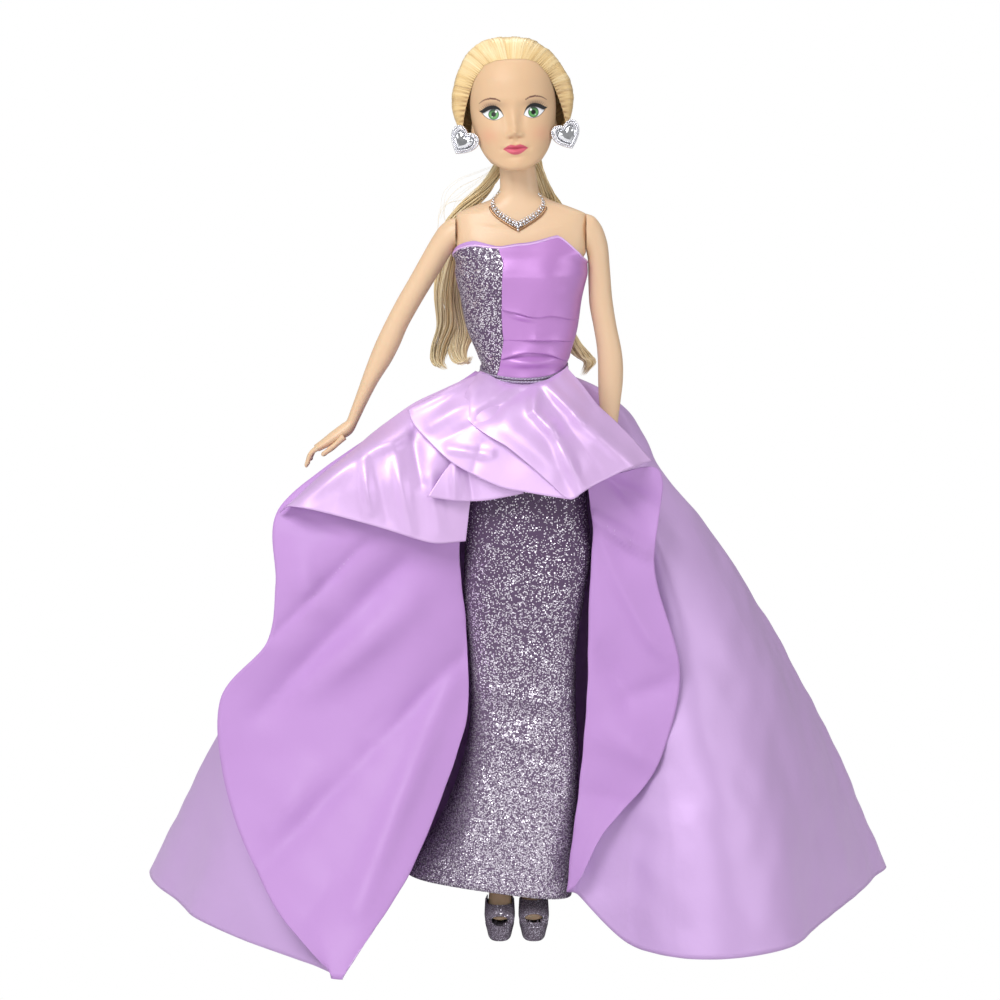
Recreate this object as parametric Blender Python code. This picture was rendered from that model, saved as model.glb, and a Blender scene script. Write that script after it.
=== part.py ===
"""A 30 cm fashion doll in a strapless gown with a long train.

Units are metres, +Z is up, and the doll faces -Y. The doll stands on its platform shoes with the
hem of the train on the same surface. The pieces are modelled about the doll's own upright axis,
and one empty then puts the middle of the whole object's floor area at the origin.
"""
import math

import bmesh
import bpy
import numpy as np

# Where the doll's upright axis stands
STAND_X = -0.0006
STAND_Y = -0.0219

# Fits
GAP = 0.0003
CUT = 0.003
VINYL = 0.0018
SHELL = 0.0014
CLOTH = 0.0005

# Heights of the body's landmarks: the torso starts at the crotch, and the rest is worked out
CROTCH_Z = 0.1405
HIP_RISE = 0.0115
TORSO_LENGTH = 0.1215
SHOULDER_SHARE = 0.823045
WAIST_SHARE = 0.448560
BODICE_TOP_SHARE = 0.777778
NECK_TOP = CROTCH_Z + TORSO_LENGTH
SHOULDER_Z = CROTCH_Z + SHOULDER_SHARE * TORSO_LENGTH
WAIST_Z = CROTCH_Z + WAIST_SHARE * TORSO_LENGTH
BODICE_TOP_Z = CROTCH_Z + BODICE_TOP_SHARE * TORSO_LENGTH
HIP_Z = CROTCH_Z + HIP_RISE

# Torso
SHOULDER_HALF = 0.0215
BUST_HALF = 0.0202
HIP_HALF = 0.0190
NECK_X = -0.0014
PELVIS_HALF = 0.0078

# Head, measured up from the top of the neck
HEAD_HEIGHT = 0.0385
HEAD_HALF = 0.0143
HEAD_DEPTH = 0.0166
HEAD_TILT = math.radians(-3.4)
HEAD_TURN = math.radians(2.5)
NOSE = 0.0034
KNOB_RADIUS = 0.0052
STEM_RADIUS = 0.0030
NECK_HOLE = 0.0044
HEAD_SEAT = 0.0007
EAR_LENGTH = 0.0075

# Hair
HAIR_SEAT = 0.0007
HAIR_EDGE = 0.0007
HAIR_PUFF = 0.0054
TIE_CORD = 0.0009
TAIL_HALF = 0.0066
TAIL_DEPTH = 0.0032
FALL_HALF = 0.0220
FALL_DEPTH = 0.0042
TAIL_CUT_SHARE = 0.944033
TAIL_BOTTOM_SHARE = 0.477366
TAIL_CUT_Z = CROTCH_Z + TAIL_CUT_SHARE * TORSO_LENGTH
TAIL_BOTTOM_Z = CROTCH_Z + TAIL_BOTTOM_SHARE * TORSO_LENGTH

# Arms
ARM_RADIUS = 0.0042
ARM_LENGTH = 0.0685
HAND_LENGTH = 0.0210
ARM_GAP = 0.0004
PEG_RADIUS = 0.0021
PEG_LENGTH = 0.0070
PEG_HEAD = 0.0032
RIGHT_ARM_SPREAD = math.radians(27)
LEFT_ARM_SPREAD = math.radians(4.5)
RIGHT_HAND_SPREAD = math.radians(47)
LEFT_HAND_SPREAD = math.radians(2)
FINGER_TURN = math.radians(14)

# Legs
LEG_TOP = 0.0106
HIP_OFFSET = 0.0178
ANKLE_SHIFT = -0.0014
HIP_BAR_RADIUS = 0.0022

# Shoes
PLATFORM = 0.0052
HEEL_HEIGHT = 0.0205
SHOE_WIDTH = 0.0102
SHOE_LENGTH = 0.0310

# Jewellery
HEART_HALF = 0.0047
HEART_THICK = 0.0016
HEART_TURN = math.radians(19)
RIGHT_HEART_ROLL = math.radians(35)
LEFT_HEART_ROLL = math.radians(-20)
STUD_RADIUS = 0.0006
CHAIN_RADIUS = 0.0009
CHAIN_DROP = 0.0125

# Gown
CORD_RADIUS = 0.00055
SKIRT_EASE = 0.0029
TRAIN_LENGTH = 0.1000
GOWN_SEAT = 0.0010
SKIRT_SLANT = 0.0030
FOLD_DEPTH = 0.0045
FACING = 0.0004
FACING_LIFT = 0.0010
TAPE = 0.0005
TAPE_WIDTH = 0.0056


def material(name, color, roughness, metallic=0.0):
    """A Principled material with the piece's own colour."""
    made = bpy.data.materials.new(name)
    made.use_nodes = True
    shader = made.node_tree.nodes["Principled BSDF"]
    shader.inputs["Base Color"].default_value = (*color, 1.0)
    shader.inputs["Roughness"].default_value = roughness
    shader.inputs["Metallic"].default_value = metallic
    return made


def face_outwards(mesh):
    """Turn every face of a closed mesh outwards."""
    work = bmesh.new()
    work.from_mesh(mesh)
    bmesh.ops.recalc_face_normals(work, faces=work.faces)
    if work.calc_volume(signed=True) < 0.0:
        bmesh.ops.reverse_faces(work, faces=work.faces)
    work.to_mesh(mesh)
    work.free()


def mesh_object(name, points, faces, look, parent, origin=(0.0, 0.0, 0.0)):
    """A smooth-shaded mesh whose origin is at the given place of its parent's frame."""
    shift = np.asarray(origin, dtype=float)
    mesh = bpy.data.meshes.new(name)
    mesh.from_pydata((np.asarray(points) - shift).tolist(), [], faces)
    face_outwards(mesh)
    mesh.shade_smooth()
    mesh.set_sharp_from_angle(angle=math.radians(40))
    mesh.materials.append(look)
    made = bpy.data.objects.new(name, mesh)
    made.location = shift
    made.parent = parent
    bpy.context.collection.objects.link(made)
    return made


def through(keys, count, closed=False):
    """Rows on a smooth curve through the key rows (Catmull-Rom), evenly spread over the keys."""
    keys = np.asarray(keys, dtype=float)
    spans = len(keys) if closed else len(keys) - 1
    place = np.linspace(0.0, spans, count, endpoint=not closed)
    index = np.minimum(place.astype(int), spans - 1)
    part = (place - index).reshape((-1,) + (1,) * (keys.ndim - 1))

    def key(step):
        at = index + step
        if closed:
            return keys[at % len(keys)]
        return keys[np.clip(at, 0, len(keys) - 1)]

    before, start, end, after = key(-1), key(0), key(1), key(2)
    return 0.5 * (2 * start + (end - before) * part
                  + (2 * before - 5 * start + 4 * end - after) * part ** 2
                  + (3 * start - before - 3 * end + after) * part ** 3)


def grid_faces(rows, columns, wrap):
    """Quads of a grid of points stored row by row."""
    faces = []
    for row in range(rows - 1):
        for column in range(columns if wrap else columns - 1):
            step = (column + 1) % columns
            faces.append((row * columns + column, row * columns + step,
                          (row + 1) * columns + step, (row + 1) * columns + column))
    return faces


def loft(rings):
    """A closed body through rings that run counter-clockwise seen against their path."""
    rings = np.asarray(rings)
    rows, columns, _ = rings.shape
    points = np.vstack([rings.reshape(-1, 3), rings[0].mean(axis=0), rings[-1].mean(axis=0)])
    faces = grid_faces(rows, columns, True)
    start = rows * columns
    last = (rows - 1) * columns
    for column in range(columns):
        step = (column + 1) % columns
        faces.append((start, step, column))
        faces.append((start + 1, last + column, last + step))
    return points, faces


def normals_of(grid, wrap):
    """Unit normals at the points of a grid, from the differences of their neighbours."""
    if wrap:
        across = np.roll(grid, -1, axis=1) - np.roll(grid, 1, axis=1)
    else:
        across = np.gradient(grid, axis=1)
    along = np.gradient(grid, axis=0)
    normal = np.cross(across, along)
    size = np.linalg.norm(normal, axis=2, keepdims=True)
    return normal / np.maximum(size, np.finfo(float).tiny)


def thick_sheet(outer, inner, wrap):
    """A closed solid between two grids: outer is the face that the grid's normals leave."""
    rows, columns, _ = outer.shape
    second = rows * columns
    points = np.vstack([outer.reshape(-1, 3), inner.reshape(-1, 3)])
    quads = grid_faces(rows, columns, wrap)
    faces = [face for a, b, c, d in quads for face in ((a, b, c), (a, c, d))]
    faces += [tuple(second + corner for corner in face[::-1]) for face in faces]
    for column in range(columns if wrap else columns - 1):
        step = (column + 1) % columns
        low = (rows - 1) * columns
        faces.append((step, column, second + column, second + step))
        faces.append((low + column, low + step, second + low + step, second + low + column))
    if not wrap:
        for row in range(rows - 1):
            one = row * columns
            two = one + columns
            faces.append((one, two, second + two, second + one))
            end = columns - 1
            faces.append((two + end, one + end, second + one + end, second + two + end))
    return points, faces


def cloth(grid, wrap=False, thickness=CLOTH):
    """A piece of cloth of even thickness about a grid of points."""
    half = normals_of(grid, wrap) * (thickness / 2)
    return thick_sheet(grid + half, grid - half, wrap)


def drawn_in(grid, column, beside):
    """Move a seam's column of points half a gap towards the column beside it."""
    step = grid[:, beside] - grid[:, column]
    step /= np.maximum(np.linalg.norm(step, axis=1, keepdims=True), np.finfo(float).tiny)
    grid[:, column] += step * (GAP / 2)


def cloth_panel(grid, normal, first, last, seams):
    """The columns from first to last of a larger sheet, cut off at the seams on its sides."""
    panel = grid[:, first:last + 1].copy()
    half = normal[:, first:last + 1] * (CLOTH / 2)
    if seams[0]:
        drawn_in(panel, 0, 1)
    if seams[1]:
        drawn_in(panel, -1, -2)
    return thick_sheet(panel + half, panel - half, False)


def ring_tube(path, radius, sides, closed=True):
    """A tube of round section along a path of points."""
    path = np.asarray(path)
    if closed:
        ahead = np.roll(path, -1, axis=0) - np.roll(path, 1, axis=0)
    else:
        ahead = np.gradient(path, axis=0)
    ahead /= np.linalg.norm(ahead, axis=1, keepdims=True)
    up = np.zeros_like(path)
    up[:, 2] = 1.0
    side = np.cross(ahead, up)
    side /= np.linalg.norm(side, axis=1, keepdims=True)
    rise = np.cross(side, ahead)
    turn = np.linspace(0.0, 2 * math.pi, sides, endpoint=False)
    wide = np.reshape(radius, (-1, 1, 1)) if np.ndim(radius) else radius
    rings = (path[:, None] + wide * (np.cos(turn)[None, :, None] * side[:, None]
                                     + np.sin(turn)[None, :, None] * rise[:, None]))
    if not closed:
        return loft(rings)
    count = len(path)
    points = rings.reshape(-1, 3)
    faces = grid_faces(count, sides, True)
    for column in range(sides):
        step = (column + 1) % sides
        last = (count - 1) * sides
        faces.append((last + column, last + step, step, column))
    return points, faces


def ellipse(count, half_x, front, back, square=1.0, turn=0.0):
    """Points round a section, counter-clockwise from +X, deeper in front (-Y) or behind (+Y)."""
    angle = np.linspace(0.0, 2 * math.pi, count, endpoint=False) + turn
    cosine = np.sign(np.cos(angle)) * np.abs(np.cos(angle)) ** square
    sine = np.sign(np.sin(angle)) * np.abs(np.sin(angle)) ** square
    depth = np.where(sine > 0, back, front)
    return np.stack([half_x * cosine, depth * sine, np.zeros(count)], axis=1)


def cutter(name, points, faces, parent):
    """A solid that only shapes others."""
    made = mesh_object(name, points, faces, LOOKS["cutter"], parent)
    made.hide_render = True
    made.display_type = "WIRE"
    return made


def box_points(low, high):
    """The corners and faces of a box."""
    corners = [(x, y, z) for z in (low[2], high[2]) for y in (low[1], high[1])
               for x in (low[0], high[0])]
    faces = [(0, 2, 3, 1), (4, 5, 7, 6), (0, 1, 5, 4), (2, 6, 7, 3), (0, 4, 6, 2), (1, 3, 7, 5)]
    return corners, faces


def rod_along_x(start, end, radius, y, z, sides=12):
    """A round rod along X."""
    turn = np.linspace(0.0, 2 * math.pi, sides, endpoint=False)
    rings = [np.stack([np.full(sides, x), y + radius * np.cos(turn), z + radius * np.sin(turn)],
                      axis=1) for x in (start, end)]
    return loft(rings)


def rod_along_y(start, end, radius, sides=8):
    """A round rod along Y through the origin's height."""
    turn = np.linspace(0.0, 2 * math.pi, sides, endpoint=False)
    rings = [np.stack([radius * np.cos(turn), np.full(sides, y), radius * np.sin(turn)], axis=1)
             for y in (start, end)]
    return loft(rings)


def prism_along_x(outline, start, end):
    """A flat outline of (y, z) points drawn out along X."""
    count = len(outline)
    points = [(x, y, z) for x in (start, end) for y, z in outline]
    faces = [tuple(range(count)), tuple(range(2 * count - 1, count - 1, -1))]
    for corner in range(count):
        step = (corner + 1) % count
        faces.append((step, corner, count + corner, count + step))
    return points, faces


def carve(target, tool, operation="DIFFERENCE"):
    """Shape a piece with a cutter, by the exact solver."""
    step = target.modifiers.new(tool.name, "BOOLEAN")
    step.operation = operation
    step.object = tool
    step.solver = "EXACT"


# Each row of the torso: height above the crotch as a share of the crotch-to-neck height, then half
# width, front and back depth as shares of the shoulder's half width, and the squareness of the ring
TORSO_SHARES = [
    (0.000, 0.300, 0.26, 0.30, 1.00),
    (0.035, 0.560, 0.44, 0.56, 0.95),
    (0.090, 0.740, 0.53, 0.69, 0.92),
    (0.170, 0.805, 0.56, 0.70, 0.92),
    (0.270, 0.770, 0.53, 0.60, 0.95),
    (0.360, 0.650, 0.47, 0.46, 0.98),
    (0.455, 0.567, 0.43, 0.41, 1.00),
    (0.520, 0.610, 0.46, 0.42, 1.00),
    (0.610, 0.800, 0.60, 0.47, 0.96),
    (0.700, 0.940, 0.74, 0.53, 0.92),
    (0.755, 0.920, 0.66, 0.52, 0.90),
    (0.800, 0.930, 0.46, 0.46, 0.86),
    (0.845, 0.985, 0.34, 0.37, 0.84),
    (0.870, 0.960, 0.29, 0.32, 0.84),
    (0.888, 0.740, 0.27, 0.30, 0.90),
    (0.906, 0.460, 0.26, 0.29, 0.98),
    (0.930, 0.300, 0.26, 0.28, 1.00),
    (1.000, 0.270, 0.27, 0.27, 1.00),
]


def torso_sections(rows):
    """Rows of height, half width, front, back and squareness down the torso's table."""
    table = through(TORSO_SHARES, rows)
    table[:, 0] = CROTCH_Z + table[:, 0] * (NECK_TOP - CROTCH_Z)
    table[:, 1:4] *= SHOULDER_HALF
    table[:, 1] = np.minimum(table[:, 1], SHOULDER_HALF)
    return table


def torso_rings(rows, around, offset):
    """Rings round the torso, moved out or in by an offset, with the neck leaning to its head."""
    rings = []
    for height, half, front, back, square in torso_sections(rows):
        lean = NECK_X * np.clip((height - SHOULDER_Z) / (NECK_TOP - SHOULDER_Z), 0.0, 1.0)
        ring = ellipse(around, half + offset, front + offset, back + offset, square)
        ring += (lean, 0.0, height)
        rings.append(ring)
    return np.array(rings)


def torso_at(height, angle, offset):
    """Points on the torso at heights and angles (0 at +X, -90 degrees in front), moved out."""
    table = torso_sections(60)
    half = np.interp(height, table[:, 0], table[:, 1]) + offset
    front = np.interp(height, table[:, 0], table[:, 2]) + offset
    back = np.interp(height, table[:, 0], table[:, 3]) + offset
    square = np.interp(height, table[:, 0], table[:, 4])
    cosine = np.sign(np.cos(angle)) * np.abs(np.cos(angle)) ** square
    sine = np.sign(np.sin(angle)) * np.abs(np.sin(angle)) ** square
    return np.stack([half * cosine, np.where(sine > 0, back, front) * sine, height], axis=-1)


def make_torso(stand):
    """Two moulded half shells, front and back, with holes for the pegs, the bar and the knob."""
    outer = loft(torso_rings(19, 20, 0.0))
    inner_rings = torso_rings(19, 12, -SHELL)
    heights = inner_rings[:, 0, 2]
    hollow = (heights > HIP_Z + LEG_TOP + SHELL) & (heights < NECK_TOP - 2 * PEG_LENGTH + CUT)
    tools = [cutter("torso_cavity", *loft(inner_rings[hollow]), stand),
             cutter("neck_bore", *turned([(NECK_TOP - 3 * PEG_LENGTH, STEM_RADIUS + GAP),
                                          (NECK_TOP + CUT, STEM_RADIUS + GAP)], NECK_X), stand),
             cutter("peg_holes", *rod_along_x(-SHOULDER_HALF - CUT, SHOULDER_HALF + CUT,
                                              PEG_RADIUS + GAP, 0.0, SHOULDER_Z), stand),
             cutter("bar_hole", *rod_along_x(-PELVIS_HALF - CUT, PELVIS_HALF + CUT,
                                             HIP_BAR_RADIUS + GAP, 0.0, HIP_Z), stand)]
    arch = np.linspace(0.0, math.pi, 15)
    radius = LEG_TOP + 2 * GAP
    outline = np.stack([radius * np.cos(arch), HIP_Z + radius * np.sin(arch)], axis=1)
    floor = CROTCH_Z - CUT
    outline = np.vstack([(2 * radius, floor), (2 * radius, HIP_Z), outline,
                         (-2 * radius, HIP_Z), (-2 * radius, floor)])
    for side in (-1, 1):
        ends = (side * PELVIS_HALF, side * (HIP_HALF + 2 * CUT))
        tools.append(cutter(f"hip_recess_{side}", *prism_along_x(outline, *ends), stand))
    reach = 2 * SHOULDER_HALF
    for name, low, high in (("torso_front_shell", -GAP / 2, reach),
                            ("torso_back_shell", -reach, GAP / 2)):
        box = box_points((-reach, low, CROTCH_Z - CUT), (reach, high, NECK_TOP + CUT))
        half = cutter(name + "_other_side", *box, stand)
        shell = mesh_object(name, *outer, LOOKS["skin"], stand)
        for tool in [half, *tools]:
            carve(shell, tool)


def turned(profile, x=0.0, y=0.0, sides=16):
    """A body turned about an upright axis, from (height, radius) pairs."""
    turn = np.linspace(0.0, 2 * math.pi, sides, endpoint=False)
    rings = [np.stack([x + radius * np.cos(turn), y + radius * np.sin(turn),
                       np.full(sides, height)], axis=1) for height, radius in profile]
    return loft(rings)


def make_neck_knob(stand):
    """The barbed plug that the soft head snaps over."""
    profile = [(NECK_TOP - 1.5 * PEG_LENGTH, STEM_RADIUS), (NECK_TOP + 1.6 * VINYL, STEM_RADIUS),
               (NECK_TOP + 1.9 * VINYL, KNOB_RADIUS), (NECK_TOP + 2.5 * VINYL, KNOB_RADIUS),
               (NECK_TOP + 4.5 * VINYL, STEM_RADIUS / 2)]
    mesh_object("neck_knob", *turned(profile, NECK_X), LOOKS["hard_plastic"], stand)


# The head's rows: y and z in front, x, y and z at the side, y and z behind, as shares of the
# head's depth, half width and height
HEAD_SHARES = [
    (-0.42, 0.000, 0.46, 0.00, 0.000, 0.42, 0.000),
    (-0.56, -0.024, 0.56, -0.06, 0.004, 0.50, 0.006),
    (-0.74, -0.060, 0.66, -0.18, 0.050, 0.62, 0.045),
    (-0.86, -0.042, 0.76, -0.26, 0.110, 0.74, 0.110),
    (-0.90, 0.040, 0.85, -0.16, 0.190, 0.86, 0.200),
    (-0.91, 0.130, 0.93, -0.08, 0.290, 0.95, 0.310),
    (-0.89, 0.260, 0.98, 0.00, 0.400, 0.99, 0.430),
    (-0.84, 0.430, 1.00, 0.03, 0.520, 1.00, 0.540),
    (-0.87, 0.570, 0.99, 0.06, 0.630, 0.97, 0.650),
    (-0.83, 0.720, 0.94, 0.08, 0.740, 0.90, 0.760),
    (-0.66, 0.860, 0.78, 0.10, 0.860, 0.74, 0.870),
    (-0.36, 0.955, 0.50, 0.11, 0.950, 0.46, 0.955),
    (0.06, 1.000, 0.06, 0.12, 1.000, 0.17, 1.000),
]


def head_points(rise, angle, offset=0.0):
    """Points on the head for shares of the way up its rows and angles round it from the face."""
    table = through(HEAD_SHARES, 97)
    at = np.clip(rise, 0.0, 1.0) * (len(table) - 1)
    keys = [np.interp(at, np.arange(len(table)), table[:, column]) for column in range(7)]
    front_y, front_z, side_x, side_y, side_z, back_y, back_z = keys
    cosine = np.cos(angle)
    sine = np.sin(angle)
    facing = cosine > 0
    reach = np.where(facing, front_y, back_y) * HEAD_DEPTH
    level = np.where(facing, front_z, back_z) * HEAD_HEIGHT
    x = side_x * HEAD_HALF * np.sign(sine) * np.abs(sine) ** 0.92
    y = side_y * HEAD_DEPTH + (reach - side_y * HEAD_DEPTH) * np.abs(cosine) ** 0.92
    z = side_z * HEAD_HEIGHT + (level - side_z * HEAD_HEIGHT) * cosine ** 2
    nose = np.exp(-(x / (0.13 * HEAD_HALF)) ** 2 - ((z - 0.275 * HEAD_HEIGHT)
                                                  / (0.075 * HEAD_HEIGHT)) ** 2)
    y = y - np.where(facing, nose, 0.0) * NOSE
    points = np.stack([x, y, z], axis=-1)
    middle = np.array([0.0, 0.06 * HEAD_DEPTH, 0.46 * HEAD_HEIGHT])
    away = points - middle
    away /= np.linalg.norm(away, axis=-1, keepdims=True)
    return points + away * np.asarray(offset)[..., None]


def head_angles(count):
    """Angles round the head, closer together at the face."""
    turn = np.linspace(0.0, 2 * math.pi, count, endpoint=False)
    return turn - 0.45 * np.sin(turn)


def make_head(head, hearts):
    """The hollow vinyl head: an outer and an inner skin that meet round the neck hole."""
    rise, angle = np.meshgrid(np.linspace(0.0, 1.0, 15), head_angles(20), indexing="ij")
    outer = head_points(rise, angle)
    inner = head_points(np.maximum(rise, 0.08), angle, np.full(rise.shape, -VINYL))
    lip = np.stack([NECK_HOLE * np.sin(angle[0]), -NECK_HOLE * np.cos(angle[0]),
                    np.zeros_like(angle[0])], axis=1)
    raised = lip + (0.0, 0.0, VINYL)
    outer = np.concatenate([lip[None], outer])[:-1]
    inner = np.concatenate([raised[None], inner])[:-1]
    points, faces = thick_sheet(outer, inner, True)
    rows, columns, _ = outer.shape
    faces = [face for face in faces if not top_rim(face, rows, columns)]
    points = list(map(tuple, points))
    for first, lift in ((0, 0.0), (rows * columns, -VINYL)):
        pole = len(points)
        points.append((0.0, 0.12 * HEAD_DEPTH, HEAD_HEIGHT + lift))
        last = first + (rows - 1) * columns
        for column in range(columns):
            step = last + (column + 1) % columns
            face = (pole, last + column, step)
            faces.append(face if first == 0 else face[::-1])
    shell = mesh_object("head_shell", points, faces, LOOKS["skin"], head)
    for side in (-1, 1):
        ear = ellipse(12, EAR_LENGTH * 0.26, EAR_LENGTH * 0.32, EAR_LENGTH * 0.32)
        rings = [ear * scale + (side * HEAD_HALF * x, 0.10 * HEAD_DEPTH, HEAD_HEIGHT * z)
                 for scale, x, z in ((0.6, 0.80, 0.12), (1.0, 0.89, 0.15), (1.1, 0.94, 0.20),
                                     (1.0, 0.95, 0.24), (0.5, 0.93, 0.27))]
        lobe = cutter(f"ear_{side}", *loft(rings), head)
        carve(shell, lobe, "UNION")
        stud = rod_along_y(0.0, stud_length() + CUT, STUD_RADIUS + GAP)
        carve(shell, cutter(f"stud_hole_{side}", *stud, hearts[side]))


def top_rim(face, rows, columns):
    """True for the rim faces between the last rows of the two skins."""
    last = (rows - 1) * columns
    second = rows * columns
    outer = [corner for corner in face if corner < second]
    inner = [corner for corner in face if corner >= second]
    return len(outer) == 2 and len(inner) == 2 and min(outer) >= last


# The hairline: share of the way up the head's rows at angles round it from the face, in degrees
HAIRLINE_SHARES = [(0, 0.865), (25, 0.860), (45, 0.835), (60, 0.770), (72, 0.680), (86, 0.560),
                   (105, 0.470), (125, 0.340), (150, 0.230), (180, 0.190)]


def hairline(angle):
    """How far up the head's rows the hair starts at an angle from the face."""
    turn = np.degrees(np.abs((angle + math.pi) % (2 * math.pi) - math.pi))
    table = np.array(HAIRLINE_SHARES)
    return np.interp(turn, table[:, 0], table[:, 1])


def hair_puff(part, angle):
    """How thick the combed hair lies, from its edge (part 0) to the crown (part 1)."""
    away = (1 - np.cos(angle)) / 2
    rise = np.sin(np.clip(part * 2.2, 0.0, 1.0) * math.pi / 2)
    wave = 0.62 + 0.38 * np.sin(np.clip(part, 0.0, 1.0) * math.pi)
    low = 0.62 + 0.38 * (1 - away)
    return HAIR_EDGE + (HAIR_PUFF - HAIR_EDGE) * rise * wave * (low + 0.35 * np.sin(angle) ** 2)


def make_hair_crown(head):
    """The rooted hair combed back over the scalp, one closed cap."""
    part, angle = np.meshgrid(np.linspace(0.0, 1.0, 9), head_angles(20), indexing="ij")
    edge = hairline(angle)
    rise = edge + (1 - edge) * part
    inner = head_points(rise, angle, np.full(rise.shape, HAIR_SEAT))[:-1]
    outer = head_points(rise, angle, hair_puff(part, angle) + HAIR_SEAT)[:-1]
    points, faces = thick_sheet(outer, inner, True)
    rows, columns, _ = outer.shape
    faces = [face for face in faces if not top_rim(face, rows, columns)]
    points = list(map(tuple, points))
    for first, lift in ((0, HAIR_PUFF * 0.80), (rows * columns, HAIR_SEAT)):
        pole = len(points)
        points.append((0.0, 0.12 * HEAD_DEPTH, HEAD_HEIGHT + lift))
        last = first + (rows - 1) * columns
        for column in range(columns):
            step = last + (column + 1) % columns
            face = (pole, last + column, step)
            faces.append(face if first == 0 else face[::-1])
    mesh_object("hair_crown", points, faces, LOOKS["hair"], head)


# The middle of an ear lobe, as shares of the head's half width, depth and height
LOBE_SHARES = (0.9608, 0.1259, 0.2130)
# How far in front of its lobe a heart hangs, as a share of the heart's half width
HEART_REACH_SHARE = 2.0

LOOKS = {}


def make_looks():
    """One material for each kind of piece."""
    LOOKS.update({
        "skin": material("skin_vinyl", (0.76, 0.50, 0.32), 0.42),
        "hard_plastic": material("hard_plastic", (0.78, 0.62, 0.48), 0.40),
        "hair": material("golden_hair", (0.75, 0.52, 0.22), 0.38),
        "elastic": material("hair_elastic", (0.62, 0.42, 0.20), 0.70),
        "silver": material("silver_plating", (0.80, 0.80, 0.84), 0.22, 1.0),
        "mirror": material("mirror_stone", (0.86, 0.88, 0.92), 0.06, 1.0),
        "satin": material("lilac_satin", (0.70, 0.47, 0.83), 0.32),
        "glitter": material("glitter_fabric", (0.24, 0.17, 0.29), 0.45),
        "shoe": material("glitter_shoe", (0.20, 0.14, 0.24), 0.40),
        "cord": material("metallic_cord", (0.42, 0.36, 0.46), 0.40, 0.6),
        "tape": material("hook_tape", (0.86, 0.84, 0.88), 0.85),
        "cutter": material("cutter_guide", (1.0, 0.2, 0.1), 0.50),
    })


def make_ponytail(head, stand):
    """The gathered hair below the nape: a short root on the head, a tie, and the hanging length."""
    nape = 0.80 * HEAD_DEPTH
    low = TAIL_CUT_Z + 2 * GAP - NECK_TOP - HEAD_SEAT + abs(HEAD_TILT) * TAIL_HALF
    top = 0.024 * HEAD_HEIGHT
    rows = [(0.00, 1.00, 1.00), (0.28, 0.80, 0.94), (0.52, 0.60, 0.84), (0.74, 0.62, 0.86),
            (1.00, 0.92, 1.02)]
    rings = []
    for down, wide, deep in rows:
        ring = ellipse(14, TAIL_HALF * wide, TAIL_DEPTH * deep, TAIL_DEPTH * deep)
        rings.append(ring + (0.0, nape + TAIL_DEPTH * 0.35, top + (low - top) * down))
    mesh_object("ponytail_root", *loft(rings[::-1]), LOOKS["hair"], head)
    turn = np.linspace(0.0, 2 * math.pi, 20, endpoint=False)
    path = np.stack([(TAIL_HALF * 0.62 + TIE_CORD + GAP) * np.cos(turn),
                     nape + TAIL_DEPTH * 0.35 + (TAIL_DEPTH * 0.86 + TIE_CORD + GAP) * np.sin(turn),
                     np.full(20, top + (low - top) * 0.62)], axis=1)
    mesh_object("hair_tie", *ring_tube(path, TIE_CORD, 6), LOOKS["elastic"], head)
    fall = through(FALL_SHARES, 12)
    rings = []
    for height, x, y, wide, deep in fall:
        ring = ellipse(18, wide * FALL_HALF, deep * FALL_DEPTH, deep * FALL_DEPTH)
        level = TAIL_BOTTOM_Z + height * (TAIL_CUT_Z - TAIL_BOTTOM_Z)
        rings.append(ring + (x * FALL_HALF, y * SHOULDER_HALF, level))
    mesh_object("ponytail_fall", *loft(rings[::-1]), LOOKS["hair"], stand)


# The hanging hair's rings: height share, x and y of the middle, half width and depth
FALL_SHARES = [
    (1.00, -0.09, 0.634, 0.30, 0.76),
    (0.86, -0.22, 0.716, 0.42, 0.82),
    (0.70, -0.40, 0.849, 0.56, 0.85),
    (0.48, -0.50, 0.957, 0.64, 0.90),
    (0.26, -0.44, 0.936, 0.73, 0.95),
    (0.09, -0.26, 0.921, 0.92, 1.00),
    (0.00, -0.14, 0.921, 1.00, 0.90),
]

# Rings of the arm's straight run: way down, then radius as shares of the arm's own radius
ARM_SHARES = [(0.00, 1.07), (0.14, 1.00), (0.32, 0.96), (0.47, 0.84), (0.62, 0.95), (0.82, 0.70),
              (0.96, 0.48), (1.00, 0.46)]
# The palm: way along the hand, half width and half thickness as shares of the hand's length
PALM_SHARES = [(0.06, 0.105, 0.085), (0.20, 0.135, 0.075), (0.38, 0.165, 0.072),
               (0.52, 0.165, 0.058)]
# Fingers: place across the palm, start, end and radius as shares of the hand's length
FINGER_SHARES = [(-0.128, 0.48, 0.88, 0.036), (-0.044, 0.48, 0.97, 0.038),
                 (0.042, 0.48, 1.00, 0.038), (0.126, 0.48, 0.93, 0.035)]
THUMB_SHARES = [(-0.12, 0.16, 0.045), (-0.20, 0.34, 0.042), (-0.215, 0.52, 0.034)]


def limb_ring(count, centre, ahead, wide_axis, half_wide, half_thick, start=0.0):
    """A ring across a limb's direction, wide along one axis, whose first point is at a turn."""
    ahead = np.asarray(ahead) / np.linalg.norm(ahead)
    wide_axis = np.asarray(wide_axis, dtype=float)
    thick_axis = np.cross(ahead, wide_axis)
    turn = start + np.linspace(0.0, 2 * math.pi, count, endpoint=False)
    return (np.asarray(centre) + half_wide * np.cos(turn)[:, None] * wide_axis
            + half_thick * np.sin(turn)[:, None] * thick_axis)


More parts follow.
